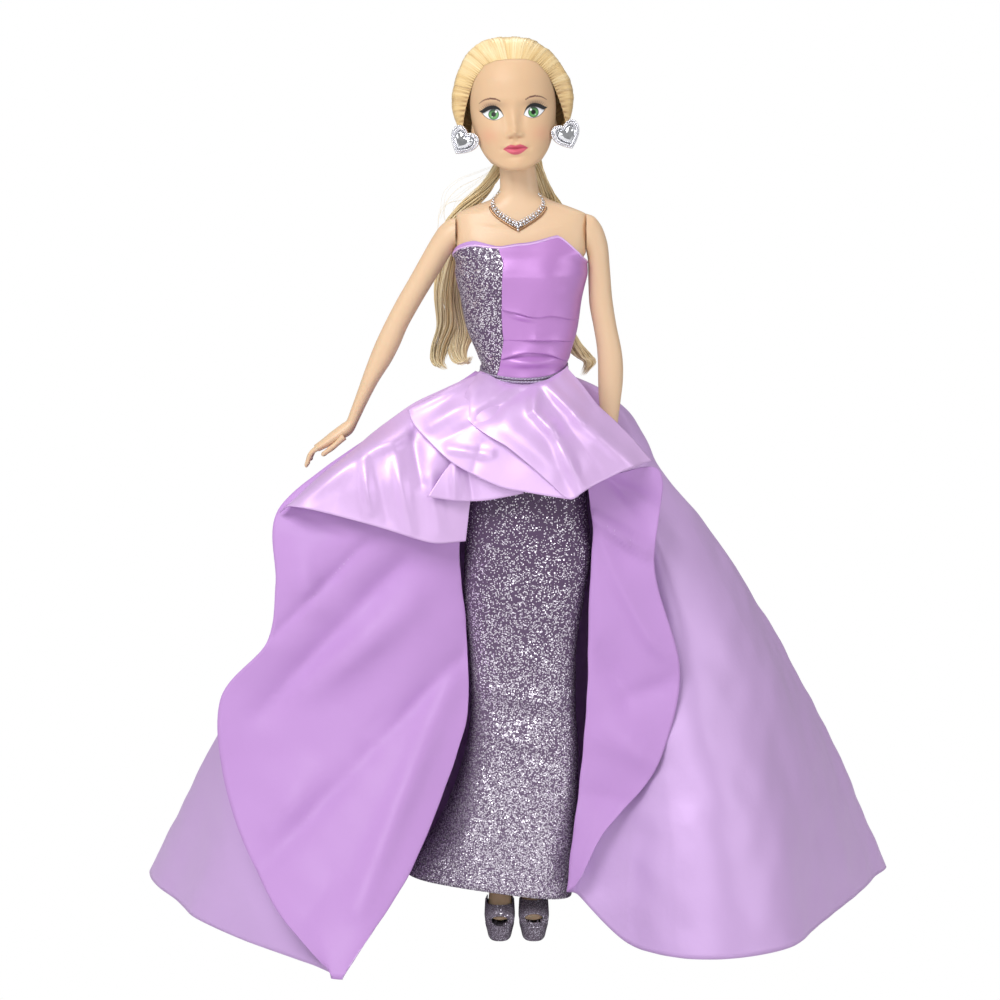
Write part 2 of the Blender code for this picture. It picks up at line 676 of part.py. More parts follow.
def make_arm(side, name, spread, hand_spread, stand):
    """A moulded arm with its hand, bored at the shoulder for its peg."""
    start = side * (SHOULDER_HALF + ARM_GAP)
    pit = SHOULDER_Z - 1.60 * ARM_RADIUS
    rings = []
    turns = np.linspace(0.0, math.pi / 2 - spread, 5)
    for step, turn in enumerate(turns):
        radius = ARM_RADIUS * (1.33 - 0.24 * step / 4)
        centre = (start + side * (1.15 * radius * math.sin(turn) + step * GAP), 0.0,
                  pit + 1.15 * radius * math.cos(turn))
        ahead = (side * math.cos(turn), 0.0, -math.sin(turn))
        rings.append(limb_ring(12, centre, ahead, (0.0, 1.0, 0.0), radius * 0.93, radius))
    shoulder = rings[-1].mean(axis=0)
    down = np.array([side * math.sin(spread), 0.0, -math.cos(spread)])
    for way, share in ARM_SHARES[1:]:
        radius = ARM_RADIUS * share
        rings.append(limb_ring(12, shoulder + down * ARM_LENGTH * way, down, (0.0, 1.0, 0.0),
                               radius, radius))
    wrist = shoulder + down * ARM_LENGTH
    reach = np.array([side * math.sin(hand_spread), 0.0, -math.cos(hand_spread)])
    for way, wide, thick in PALM_SHARES:
        rings.append(limb_ring(12, wrist + reach * HAND_LENGTH * way, reach, (0.0, 1.0, 0.0),
                               HAND_LENGTH * wide, HAND_LENGTH * thick))
    origin = (start, 0.0, SHOULDER_Z)
    arm = mesh_object(name, *loft(rings), LOOKS["skin"], stand, origin)
    for number, (across, begin, end, thick) in enumerate(FINGER_SHARES):
        finger = []
        for way, share in ((begin, 1.0), ((begin + end) / 2, 1.0), (end, 0.6)):
            centre = wrist + reach * HAND_LENGTH * way + (0.0, HAND_LENGTH * across, 0.0)
            finger.append(limb_ring(6, centre, reach, (0.0, 1.0, 0.0),
                                    HAND_LENGTH * thick * share, HAND_LENGTH * thick * share,
                                    FINGER_TURN))
        carve(arm, cutter(f"{name}_finger_{number}", *loft(finger), stand), "UNION")
    thumb = [limb_ring(6, wrist + reach * HAND_LENGTH * way + (0.0, HAND_LENGTH * across, 0.0),
                       reach, (0.0, 1.0, 0.0), HAND_LENGTH * thick, HAND_LENGTH * thick,
                       FINGER_TURN)
             for across, way, thick in THUMB_SHARES]
    carve(arm, cutter(f"{name}_thumb", *loft(thumb), stand), "UNION")
    ends = sorted((start - side * CUT, start + side * 0.62 * PEG_LENGTH))
    carve(arm, cutter(f"{name}_bore", *rod_along_x(*ends, PEG_RADIUS + GAP, 0.0, SHOULDER_Z), stand))
    peg_end = start + side * (0.62 * PEG_LENGTH - GAP)
    inside = side * (SHOULDER_HALF - 0.72 * PEG_LENGTH)
    rings = []
    turn = np.linspace(0.0, 2 * math.pi, 12, endpoint=False)
    for x, radius in ((inside - side * 2 * SHELL, PEG_HEAD * 0.8), (inside - side * SHELL, PEG_HEAD),
                      (inside, PEG_HEAD), (inside, PEG_RADIUS), (peg_end, PEG_RADIUS)):
        rings.append(np.stack([np.full(12, x), radius * np.cos(turn),
                               SHOULDER_Z + radius * np.sin(turn)], axis=1))
    mesh_object(name.replace("arm", "shoulder_peg"), *loft(rings), LOOKS["hard_plastic"], stand,
                origin)


# Rings down the leg: height as a share of the hip's, x, y, half width, front and back as shares of
# the leg's top radius
LEG_SHARES = [
    (1.060, 1.10, 0.00, 0.30, 0.42, 0.42),
    (1.040, 1.12, 0.00, 0.38, 0.76, 0.76),
    (1.000, 1.18, 0.00, 0.46, 0.97, 0.97),
    (0.935, 1.18, 0.02, 0.48, 1.00, 1.02),
    (0.918, 0.89, 0.03, 0.76, 1.00, 1.02),
    (0.800, 0.87, 0.02, 0.78, 0.92, 0.96),
    (0.660, 0.83, 0.00, 0.69, 0.76, 0.78),
    (0.530, 0.73, -0.01, 0.56, 0.60, 0.55),
    (0.430, 0.68, 0.04, 0.585, 0.56, 0.70),
    (0.330, 0.63, 0.08, 0.52, 0.48, 0.66),
    (0.235, 0.57, 0.10, 0.35, 0.36, 0.42),
]
# Rings of the foot: x as above, y, z and pitch in degrees, half width, upper and lower half depth
FOOT_SHARES = [
    (0.55, 0.13, 2.45, 10, 0.31, 0.32, 0.42),
    (0.54, 0.08, 2.02, 30, 0.33, 0.34, 0.56),
    (0.53, -0.17, 1.55, 48, 0.35, 0.30, 0.36),
    (0.53, -0.52, 1.08, 60, 0.385, 0.25, 0.25),
    (0.53, -0.87, 0.83, 76, 0.375, 0.17, 0.17),
    (0.53, -1.13, 0.76, 84, 0.27, 0.11, 0.11),
]


def foot_rings(side, grow=0.0, first=0, count=12):
    """Rings of a foot in a raised heel, grown by a clearance."""
    rings = []
    for x, y, z, pitch, wide, upper, lower in FOOT_SHARES[first:]:
        ring = ellipse(count, wide * LEG_TOP + grow, upper * LEG_TOP + grow, lower * LEG_TOP + grow)
        tilt = math.radians(pitch)
        lifted = np.stack([ring[:, 0], ring[:, 1] * math.cos(tilt), ring[:, 1] * -math.sin(tilt)],
                          axis=1)
        rings.append(lifted + (side * x * LEG_TOP + ANKLE_SHIFT, y * LEG_TOP, z * LEG_TOP))
    return np.array(rings)


def make_leg(side, name, stand):
    """A moulded leg with its raised foot, bored at the hip for the bar."""
    rings = []
    for rise, x, y, wide, front, back in LEG_SHARES:
        ring = ellipse(12, wide * LEG_TOP, front * LEG_TOP, back * LEG_TOP)
        shift = ANKLE_SHIFT * np.clip((0.9 - rise) / 0.6, 0.0, 1.0)
        rings.append(ring + (side * x * LEG_TOP + shift, y * LEG_TOP, rise * HIP_Z))
    rings = np.concatenate([np.array(rings), foot_rings(side)])
    leg = mesh_object(name, *loft(rings[::-1]), LOOKS["skin"], stand, (0.0, 0.0, HIP_Z))
    flat = side * (PELVIS_HALF + ARM_GAP)
    low, high = sorted((flat, flat - side * LEG_TOP))
    trim = box_points((low, -2 * LEG_TOP, CROTCH_Z - GAP), (high, 2 * LEG_TOP, 2 * HIP_Z))
    carve(leg, cutter(name + "_trim", *trim, stand))
    ends = sorted((flat - side * CUT, side * (HIP_OFFSET - 2 * GAP)))
    carve(leg, cutter(name + "_bore", *rod_along_x(*ends, HIP_BAR_RADIUS + GAP, 0.0, HIP_Z), stand))


def make_hip_bar(stand):
    """The bar that both legs turn on."""
    reach = HIP_OFFSET - 4 * GAP
    mesh_object("hip_bar", *rod_along_x(-reach, reach, HIP_BAR_RADIUS, 0.0, HIP_Z),
                LOOKS["hard_plastic"], stand)


def make_shoe(side, name, stand):
    """A moulded peep-toe platform shoe with a block heel, hollow for the foot."""
    grow = (SHOE_WIDTH - 2 * FOOT_SHARES[3][4] * LEG_TOP) / 2
    rings = foot_rings(side, grow, 1)
    rings[0] += (0.0, 0.0, -grow)
    rings[-1] += (0.0, -0.9 * grow, 0.0)
    shoe = mesh_object(name, *loft(rings[::-1]), LOOKS["shoe"], stand, (0.0, 0.0, HIP_Z))
    middle = side * FOOT_SHARES[3][0] * LEG_TOP + ANKLE_SHIFT
    toe = -SHOE_LENGTH * 0.46
    sole = []
    for height, wide in ((0.0, 0.94), (PLATFORM * 0.5, 1.0), (PLATFORM + CUT * 0.6, 0.98)):
        outline = ellipse(14, SHOE_WIDTH / 2 * wide, SHOE_LENGTH * 0.23 * wide,
                          SHOE_LENGTH * 0.23 * wide, 0.78)
        sole.append(outline + (middle, toe + SHOE_LENGTH * 0.24, height))
    carve(shoe, cutter(name + "_platform", *loft(sole), stand), "UNION")
    heel = []
    for height, wide in ((0.0, 0.17), (HEEL_HEIGHT * 0.5, 0.19), (HEEL_HEIGHT * 0.82, 0.34)):
        block = ellipse(10, SHOE_WIDTH * wide, SHOE_WIDTH * wide, SHOE_WIDTH * wide)
        heel.append(block + (middle, SHOE_LENGTH * 0.185, height))
    carve(shoe, cutter(name + "_heel", *loft(heel), stand), "UNION")
    inside = foot_rings(side, GAP * 1.5, 0)
    inside[-1] += (0.0, -2 * GAP, 0.0)
    carve(shoe, cutter(name + "_inside", *loft(inside[::-1]), stand))
    throat = box_points((middle - SHOE_WIDTH, -SHOE_LENGTH * 0.12, HEEL_HEIGHT * 0.83),
                        (middle + SHOE_WIDTH, SHOE_LENGTH * 0.5, 2 * HEEL_HEIGHT))
    carve(shoe, cutter(name + "_throat", *throat, stand))
    peep = box_points((middle - SHOE_WIDTH * 0.26, toe - CUT, PLATFORM + 2 * GAP),
                      (middle + SHOE_WIDTH * 0.26, toe + SHOE_LENGTH * 0.15, HEEL_HEIGHT * 0.5))
    carve(shoe, cutter(name + "_peep", *peep, stand))


def heart_outline(count, size):
    """Points round a heart in the XZ plane, tip down."""
    turn = np.linspace(0.0, 2 * math.pi, count, endpoint=False)
    x = np.sin(turn) ** 3
    z = (13 * np.cos(turn) - 5 * np.cos(2 * turn) - 2 * np.cos(3 * turn) - np.cos(4 * turn)) / 16
    return np.stack([x, np.zeros(count), z + 0.12], axis=1) * size


def stud_length():
    """How far an ear stud reaches behind its heart."""
    return HEART_REACH_SHARE * HEART_HALF - 0.44 * HEART_THICK


def make_earring(side, name, pivot):
    """A heart-shaped frame with its stone, on a stud in the ear lobe."""
    rim = heart_outline(18, HEART_HALF)
    seat = heart_outline(18, HEART_HALF * 0.72)
    frame = mesh_object(name + "_frame", *loft([rim, rim * 1.04 - (0.0, HEART_THICK / 2, 0.0),
                                                rim - (0.0, HEART_THICK, 0.0)]),
                        LOOKS["silver"], pivot)
    depth = HEART_THICK * 0.55
    recess = loft([seat - (0.0, HEART_THICK - depth, 0.0), seat - (0.0, 2 * HEART_THICK, 0.0)])
    carve(frame, cutter(name + "_recess", *recess, pivot))
    stone = heart_outline(18, HEART_HALF * 0.72 - GAP)
    base = HEART_THICK - depth + GAP
    cut = [stone - (0.0, base, 0.0), stone - (0.0, HEART_THICK, 0.0),
           stone * 0.62 - (0.0, HEART_THICK * 1.25, 0.0)]
    mesh_object(name + "_stone", *loft(cut), LOOKS["mirror"], pivot)
    mesh_object(name + "_stud", *rod_along_y(GAP, stud_length(), STUD_RADIUS), LOOKS["silver"],
                pivot)


# Half the chain from the clasp to its tip: x and y as shares of the neck's radius, z of the drop
CHAIN_SHARES = [(0.22, 1.10, 0.02), (0.72, 0.92, 0.03), (1.17, 0.22, 0.00), (1.15, -0.72, -0.16),
                (0.92, -1.10, -0.42), (0.42, -1.32, -0.80), (0.0, -1.48, -1.08)]


def make_necklace(stand):
    """A V-shaped beaded chain round the neck, closed by a clasp behind."""
    drop = CHAIN_DROP
    neck = TORSO_SHARES[-1][1] * SHOULDER_HALF + CHAIN_RADIUS + 2 * GAP
    top = NECK_TOP - 0.65 * drop
    left = [(-x, y, z) for x, y, z in CHAIN_SHARES]
    keys = np.array(CHAIN_SHARES + left[-2::-1]) * (neck, neck, drop) + (NECK_X * 0.7, 0.0, top)
    path = through(keys, 33)
    front = np.clip(-path[:, 1] / neck, 0.0, 1.3)
    mesh_object("necklace_chain", *ring_tube(path, CHAIN_RADIUS * (0.75 + 0.35 * front), 6, False),
                LOOKS["silver"], stand)
    back = keys[0]
    width = abs(back[0] - NECK_X * 0.7) - 2 * GAP
    low = (NECK_X * 0.7 - width, back[1] - CHAIN_RADIUS, back[2] - CHAIN_RADIUS)
    high = (NECK_X * 0.7 + width, back[1] + CHAIN_RADIUS, back[2] + CHAIN_RADIUS)
    mesh_object("necklace_clasp", *box_points(low, high), LOOKS["silver"], stand)


# Heights of the bodice's top edge and the gown's waist line at angles round the body, in degrees
# from +X with the front at -90, as shares of the bodice's top and of the waist
TOP_SHARES = [(-270, 0.970), (-225, 0.972), (-180, 0.986), (-150, 0.997), (-125, 1.003),
              (-102, 1.000), (-75, 1.009), (-60, 1.013), (-35, 0.998), (0, 0.979), (45, 0.972),
              (90, 0.970)]
WAIST_SHARES = [(-270, 1.008), (-180, 1.003), (-140, 0.992), (-90, 0.980), (-40, 0.996),
                (0, 1.009), (90, 1.008)]
# Where the seam between the two front panels runs, in degrees, up the bodice
SEAM_SHARES = [(0.0, -131), (0.3, -114), (0.6, -108), (1.0, -102)]
# Where the closing's strips start and end up the bodice
STRIP_SHARES = (0.04, 0.96)


def at_angle(table, degrees):
    """A value of a table kept by angle."""
    table = np.array(table)
    return np.interp(degrees, table[:, 0], table[:, 1])


def bodice_grid(rows, columns, left, right, offset, low=0.0, high=1.0, lift=0.0):
    """A grid on the torso between two side lines, from the waist (low) to the top edge (high)."""
    up = np.linspace(low, high, rows)[:, None]
    across = np.linspace(0.0, 1.0, columns)[None, :]
    degrees = left(up) + (right(up) - left(up)) * across
    bottom = WAIST_Z * at_angle(WAIST_SHARES, degrees)
    top = BODICE_TOP_Z * at_angle(TOP_SHARES, degrees) + lift
    height = bottom + (top - bottom) * up
    away = offset(degrees) if callable(offset) else np.full(height.shape, offset)
    return torso_at(height, np.radians(degrees), away)


def make_bodice(stand):
    """Two front panels, a facing, two back panels and their hook-and-loop closing."""
    def line(degrees):
        return lambda up: np.full(up.shape, float(degrees))

    def seam(shift):
        return lambda up: np.interp(up, *np.array(SEAM_SHARES).T) + shift

    inner = 3 * GAP + FACING
    outer = inner + CLOTH

    def panel(name, look, rows, columns, left, right):
        outside = bodice_grid(rows, columns, left, right, outer)
        inside = bodice_grid(rows, columns, left, right, inner)
        mesh_object(name, *thick_sheet(outside, inside, False), LOOKS[look], stand)

    panel("bodice_glitter_panel", "glitter", 9, 8, line(-179.2), seam(-0.8))
    panel("bodice_satin_panel", "satin", 9, 12, seam(0.8), line(-0.8))
    panel("bodice_back_left", "satin", 7, 9, line(-284.0), line(-180.8))
    facing = [bodice_grid(3, 8, line(-178.0), seam(-2.0), offset, 0.84, 1.0, FACING_LIFT)
              for offset in (1.5 * GAP + FACING, 1.5 * GAP)]
    mesh_object("bodice_facing", *thick_sheet(*facing, False), LOOKS["satin"], stand)
    lap = 2 * TAPE + 3 * GAP + CLOTH

    def raised(base):
        return lambda degrees: base + lap * np.clip((degrees - 58.0) / 14.0, 0.0, 1.0)

    outside = bodice_grid(7, 12, line(0.8), line(104.0), raised(outer))
    inside = bodice_grid(7, 12, line(0.8), line(104.0), raised(inner))
    mesh_object("bodice_back_right", *thick_sheet(outside, inside, False), LOOKS["satin"], stand)
    half = math.degrees(TAPE_WIDTH / 2 / (BUST_HALF * 0.7))
    for name, base in (("closure_loop_strip", outer + GAP),
                       ("closure_hook_strip", outer + 2 * GAP + TAPE)):
        strips = [bodice_grid(6, 4, line(90 - half), line(90 + half), base + thick, *STRIP_SHARES)
                  for thick in (TAPE, 0.0)]
        mesh_object(name, *thick_sheet(*strips, False), LOOKS["tape"], stand)


def make_waist_cord(stand):
    """The thin cord passed twice round the waist, and its knot at the left hip."""
    degrees = np.linspace(-180.0, 180.0, 30, endpoint=False)
    angle = np.radians(degrees)
    level = WAIST_Z * at_angle(WAIST_SHARES, np.where(degrees > 90, degrees - 360, degrees))
    stand_off = 3 * GAP + FACING + CLOTH + GAP + CORD_RADIUS
    behind = 2 * TAPE + 3 * GAP + CLOTH
    away = stand_off + behind * np.clip((np.sin(angle) - 0.80) / 0.12, 0.0, 1.0)
    for name, lift in (("waist_cord_lower", CORD_RADIUS), ("waist_cord_upper", 3.2 * CORD_RADIUS)):
        path = torso_at(level + lift, angle, away)
        mesh_object(name, *ring_tube(path, CORD_RADIUS, 5), LOOKS["cord"], stand)


# The tube skirt's depth as a share of its half width
SKIRT_DEPTH_SHARE = 0.7807
# The tube skirt's rings: height share, middle x, half width, front and back as shares
SKIRT_SHARES = [
    (1.000, 0.01, 0.655, 0.645, 0.640),
    (0.945, 0.02, 0.770, 0.780, 0.780),
    (0.880, 0.03, 0.930, 0.900, 0.960),
    (0.810, 0.05, 0.985, 0.960, 1.040),
    (0.740, 0.08, 1.010, 0.990, 1.040),
    (0.680, 0.11, 1.030, 0.990, 1.000),
    (0.600, 0.05, 0.985, 0.960, 0.960),
    (0.500, 0.03, 0.880, 0.900, 0.880),
    (0.400, 0.04, 0.870, 0.900, 0.880),
    (0.310, 0.00, 0.960, 0.930, 0.900),
    (0.200, -0.16, 1.060, 0.980, 1.020),
    (0.085, -0.50, 1.330, 1.060, 1.180),
]


def skirt_half():
    """The tube skirt's half width: it clears the pelvis and the thighs, whichever is wider."""
    thigh = max(x + wide for _, x, _, wide, _, _ in LEG_SHARES)
    pelvis = max(row[1] for row in TORSO_SHARES[:5])
    return max(thigh * LEG_TOP, pelvis * SHOULDER_HALF) + SKIRT_EASE


def gown_drop():
    """The height of the gown's top, just under the bodice."""
    return WAIST_Z - GOWN_SEAT


def skirt_grid(rows, columns):
    """The glitter tube from the waist line to its slanting hem."""
    width, deep = skirt_half(), SKIRT_DEPTH_SHARE * skirt_half()
    table = through(SKIRT_SHARES, rows)
    angle = np.linspace(0.0, 2 * math.pi, columns, endpoint=False)
    share = table[:, 0:1]
    half = table[:, 2:3] * width
    depth = np.where(np.sin(angle) > 0, table[:, 4:5], table[:, 3:4]) * deep
    x = table[:, 1:2] * width + half * np.sign(np.cos(angle)) * np.abs(np.cos(angle)) ** 0.88
    y = (depth * np.sign(np.sin(angle)) * np.abs(np.sin(angle)) ** 0.88
         + deep * 0.06 * (1 - share))
    slant = -SKIRT_SLANT * (x / width) * np.clip((0.3 - share) / 0.2, 0.0, 1.0)
    dip = 0.6 * GOWN_SEAT + (WAIST_Z * 0.009) * np.clip(-np.sin(angle), 0.0, 1.0)
    z = gown_drop() * share + slant - 2 * dip * np.clip((share - 0.9) / 0.1, 0.0, 1.0)
    return np.stack([x, y, z], axis=-1)


def make_glitter_skirt(stand):
    """The tube skirt, sewn from a front and a back panel."""
    around = 22
    grid = skirt_grid(13, around)[::-1]
    normal = normals_of(grid, True)
    grid = np.concatenate([grid, grid[:, :1]], axis=1)
    normal = np.concatenate([normal, normal[:, :1]], axis=1)
    for name, first, last in (("skirt_back", 0, around // 2), ("skirt_front", around // 2, around)):
        mesh_object(name, *cloth_panel(grid, normal, first, last, (True, True)), LOOKS["glitter"],
                    stand)


# The tube skirt's half width, the distance to which the gown follows the body and the height of the
# gown's top, all in the unit of the tables below
GIRTH_SHARES = (0.205, 0.320, 1.940)
# The gown's sheets are drawn as ribs from the waist to the hem. Each rib's points are x, y and z.
# Far from the body one unit of x and y is the train's length.
TRAIN_SHARES = [
    # The left lapel, from its free edge to the fold beside the skirt
    [(-.151, -.018, 1.934), (-.450, -.020, 1.700), (-.795, -.095, 1.450), (-.820, -.150, 1.240),
     (-.850, -.170, 1.040), (-1.010, -.140, .840), (-.985, -.180, .520), (-.820, -.380, .200),
     (-.610, -.570, .014)],
    [(-.145, -.037, 1.934), (-.350, -.070, 1.710), (-.600, -.165, 1.480), (-.620, -.170, 1.240),
     (-.630, -.170, 1.040), (-.720, -.170, .820), (-.720, -.240, .540), (-.660, -.420, .240),
     (-.595, -.578, .013)],
    [(-.137, -.056, 1.934), (-.250, -.120, 1.720), (-.380, -.175, 1.500), (-.360, -.160, 1.250),
     (-.350, -.150, 1.030), (-.400, -.180, .810), (-.450, -.280, .570), (-.500, -.430, .280),
     (-.575, -.584, .012)],
    [(-.127, -.072, 1.934), (-.170, -.140, 1.720), (-.205, -.150, 1.500), (-.203, -.110, 1.260),
     (-.184, -.105, 1.020), (-.184, -.135, .800), (-.248, -.230, .590), (-.380, -.400, .300),
     (-.555, -.584, .012)],
    # The outer layer, from that fold round the back
    [(-.119, -.062, 1.934), (-.195, -.090, 1.720), (-.230, -.115, 1.500), (-.226, -.078, 1.260),
     (-.208, -.074, 1.020), (-.216, -.104, .800), (-.285, -.190, .590), (-.420, -.360, .300),
     (-.575, -.556, .012)],
    [(-.132, -.043, 1.934), (-.240, -.040, 1.720), (-.320, -.050, 1.500), (-.330, -.030, 1.260),
     (-.340, -.030, 1.020), (-.380, -.060, .800), (-.460, -.140, .570), (-.570, -.290, .290),
     (-.690, -.430, .012)],
    [(-.141, -.014, 1.934), (-.300, .010, 1.720), (-.440, .030, 1.500), (-.540, .040, 1.260),
     (-.620, .040, 1.020), (-.700, .020, .800), (-.790, -.020, .550), (-.880, -.070, .280),
     (-.965, -.120, .010)],
    [(-.140, .020, 1.934), (-.320, .080, 1.720), (-.500, .140, 1.500), (-.650, .180, 1.260),
     (-.770, .200, 1.020), (-.890, .205, .800), (-1.000, .200, .550), (-1.090, .195, .280),
     (-1.170, .190, .010)],
    [(-.125, .062, 1.934), (-.290, .190, 1.720), (-.470, .320, 1.500), (-.630, .420, 1.260),
     (-.770, .500, 1.020), (-.920, .570, .800), (-1.080, .640, .550), (-1.220, .690, .280),
     (-1.345, .740, .010)],
    [(-.086, .099, 1.934), (-.200, .250, 1.720), (-.340, .410, 1.500), (-.470, .540, 1.260),
     (-.580, .640, 1.020), (-.700, .720, .800), (-.820, .790, .550), (-.930, .860, .280),
     (-1.040, .920, .010)],
    [(.000, .119, 1.934), (.000, .290, 1.740), (.000, .430, 1.520), (.000, .560, 1.280),
     (.000, .680, 1.030), (.000, .780, .800), (.000, .870, .550), (.000, .950, .280),
     (.000, 1.020, .010)],
    [(.086, .099, 1.934), (.190, .250, 1.740), (.310, .400, 1.520), (.430, .530, 1.280),
     (.540, .640, 1.030), (.650, .730, .800), (.770, .810, .550), (.890, .890, .280),
     (1.000, .950, .010)],
    [(.125, .062, 1.934), (.285, .190, 1.780), (.465, .290, 1.580), (.620, .380, 1.380),
     (.790, .480, 1.120), (.950, .580, .840), (1.090, .670, .560), (1.230, .750, .280),
     (1.360, .830, .010)],
    [(.137, .036, 1.934), (.300, .160, 1.780), (.480, .240, 1.580), (.635, .310, 1.380),
     (.800, .380, 1.120), (.950, .450, .840), (1.090, .510, .560), (1.210, .560, .280),
     (1.320, .610, .010)],
    [(.141, .023, 1.934), (.295, .130, 1.780), (.450, .180, 1.580), (.590, .200, 1.380),
     (.730, .200, 1.120), (.860, .190, .840), (.950, .170, .560), (1.020, .150, .280),
     (1.075, .126, .010)],
    [(.142, .012, 1.934), (.275, .105, 1.780), (.410, .140, 1.580), (.520, .130, 1.380),
     (.640, .090, 1.120), (.740, .030, .840), (.820, -.050, .560), (.880, -.140, .280),
     (.920, -.215, .010)],
    [(.142, .002, 1.934), (.250, .080, 1.780), (.360, .100, 1.580), (.450, .080, 1.380),
     (.540, .020, 1.120), (.600, -.070, .840), (.660, -.170, .560), (.700, -.270, .280),
     (.725, -.350, .010)],
    [(.141, -.008, 1.934), (.225, .050, 1.780), (.310, .095, 1.580), (.380, .080, 1.380),
     (.440, .030, 1.120), (.480, -.070, .840), (.500, -.160, .560), (.520, -.260, .280),
     (.525, -.350, .010)],
    [(.139, -.020, 1.934), (.205, .015, 1.780), (.260, .065, 1.580), (.310, .050, 1.380),
     (.340, .025, 1.120), (.360, -.040, .840), (.370, -.090, .560), (.370, -.150, .280),
     (.370, -.215, .010)],
    # The last two run beside the tube skirt on the other side
    [(.127, -.051, 1.934), (.196, -.085, 1.760), (.256, -.088, 1.600), (.278, -.065, 1.430),
     (.277, -.060, 1.180), (.266, -.066, .900), (.246, -.075, .620), (.220, -.108, .400),
     (.192, -.150, .170)],
    [(.132, -.064, 1.934), (.168, -.145, 1.760), (.210, -.152, 1.600), (.240, -.122, 1.430),
     (.236, -.115, 1.180), (.228, -.115, .900), (.205, -.125, .620), (.180, -.150, .400),
     (.158, -.187, .190)],
]
# The right lapel, sewn along the fold beside the skirt
RIGHT_LAPEL_SHARES = [
    [(.134, -.076, 1.932), (.167, -.158, 1.760), (.211, -.165, 1.600), (.243, -.135, 1.430),
     (.240, -.128, 1.180), (.232, -.128, .900), (.209, -.138, .620), (.183, -.163, .400),
     (.160, -.200, .190)],
    [(.147, -.056, 1.932), (.180, -.152, 1.762), (.235, -.157, 1.602), (.345, -.112, 1.500),
     (.340, -.116, 1.220), (.380, -.126, .910), (.330, -.142, .610), (.232, -.176, .400),
     (.182, -.205, .212)],
    [(.155, -.036, 1.932), (.190, -.146, 1.764), (.260, -.146, 1.605), (.455, -.085, 1.580),
     (.440, -.100, 1.260), (.535, -.115, .920), (.450, -.145, .600), (.276, -.184, .390),
     (.206, -.210, .250)],
]
# The ribs that the folds behind lie between, and their number
BACK_RIBS = (6, 14)
BACK_FOLDS = 4
LEFT_DRAPE_SHARES = [
    [(-.146, -.073, 1.932), (-.360, -.055, 1.830), (-.600, -.110, 1.650), (-.810, -.150, 1.478)],
    [(-.138, -.083, 1.930), (-.340, -.120, 1.780), (-.560, -.200, 1.610), (-.746, -.205, 1.500)],
    [(-.128, -.092, 1.926), (-.240, -.170, 1.740), (-.370, -.220, 1.570), (-.490, -.230, 1.445)],
    [(-.114, -.101, 1.921), (-.175, -.170, 1.720), (-.240, -.195, 1.550), (-.300, -.220, 1.385)],
    [(-.099, -.107, 1.916), (-.130, -.173, 1.720), (-.165, -.185, 1.550), (-.185, -.185, 1.385)],
]
SIDE_FLAP_SHARES = [
    [(-.083, -.100, 1.905), (-.150, -.188, 1.760), (-.250, -.223, 1.630), (-.310, -.245, 1.542)],
    [(-.076, -.104, 1.903), (-.130, -.192, 1.740), (-.190, -.220, 1.630), (-.206, -.230, 1.526)],
    [(-.069, -.108, 1.901), (-.090, -.194, 1.740), (-.110, -.215, 1.630), (-.115, -.225, 1.528)],
    [(-.062, -.111, 1.900), (-.040, -.194, 1.740), (-.010, -.215, 1.630), (.007, -.223, 1.551)],
]
FRONT_DRAPE_SHARES = [
    [(-.153, -.088, 1.930), (-.220, -.090, 1.895), (-.300, -.110, 1.860), (-.380, -.125, 1.820)],
    [(-.131, -.112, 1.922), (-.190, -.155, 1.855), (-.255, -.190, 1.780), (-.313, -.205, 1.720)],
    [(-.104, -.129, 1.912), (-.150, -.190, 1.820), (-.200, -.230, 1.735), (-.240, -.250, 1.660)],
    [(-.058, -.138, 1.902), (-.090, -.205, 1.790), (-.125, -.240, 1.690), (-.148, -.255, 1.604)],
    [(.010, -.130, 1.898), (.008, -.205, 1.780), (.007, -.245, 1.660), (.007, -.265, 1.554)],
    [(.080, -.123, 1.905), (.105, -.200, 1.780), (.135, -.250, 1.650), (.157, -.275, 1.536)],
    [(.100, -.113, 1.912), (.140, -.190, 1.790), (.180, -.245, 1.670), (.206, -.265, 1.567)],
    [(.130, -.094, 1.922), (.200, -.150, 1.820), (.280, -.180, 1.720), (.360, -.190, 1.630)],
    [(.154, -.068, 1.934), (.220, -.085, 1.880), (.340, -.095, 1.750), (.460, -.090, 1.645)],
]


def smooth(keys, count):
    """Rows on a curve through the key rows whose slopes are held down beside short steps."""
    keys = np.asarray(keys, dtype=float)
    step = np.diff(keys, axis=0)
    size = np.linalg.norm(step, axis=-1, keepdims=True)
    slope = np.zeros_like(keys)
    slope[1:-1] = (step[1:] + step[:-1]) / 2
    length = np.linalg.norm(slope[1:-1], axis=-1, keepdims=True)
    least = np.minimum(size[1:], size[:-1])
    slope[1:-1] *= np.minimum(1.0, least / np.maximum(length, np.finfo(float).tiny))
    slope[0] = step[0]
    slope[-1] = step[-1]
    place = np.linspace(0.0, len(step), count)
    index = np.minimum(place.astype(int), len(step) - 1)
    part = (place - index).reshape((-1,) + (1,) * (keys.ndim - 1))
    start, end = keys[index], keys[index + 1]
    leave, arrive = slope[index], slope[index + 1]
    return ((2 * part ** 3 - 3 * part ** 2 + 1) * start + (part ** 3 - 2 * part ** 2 + part) * leave
            + (3 * part ** 2 - 2 * part ** 3) * end + (part ** 3 - part ** 2) * arrive)


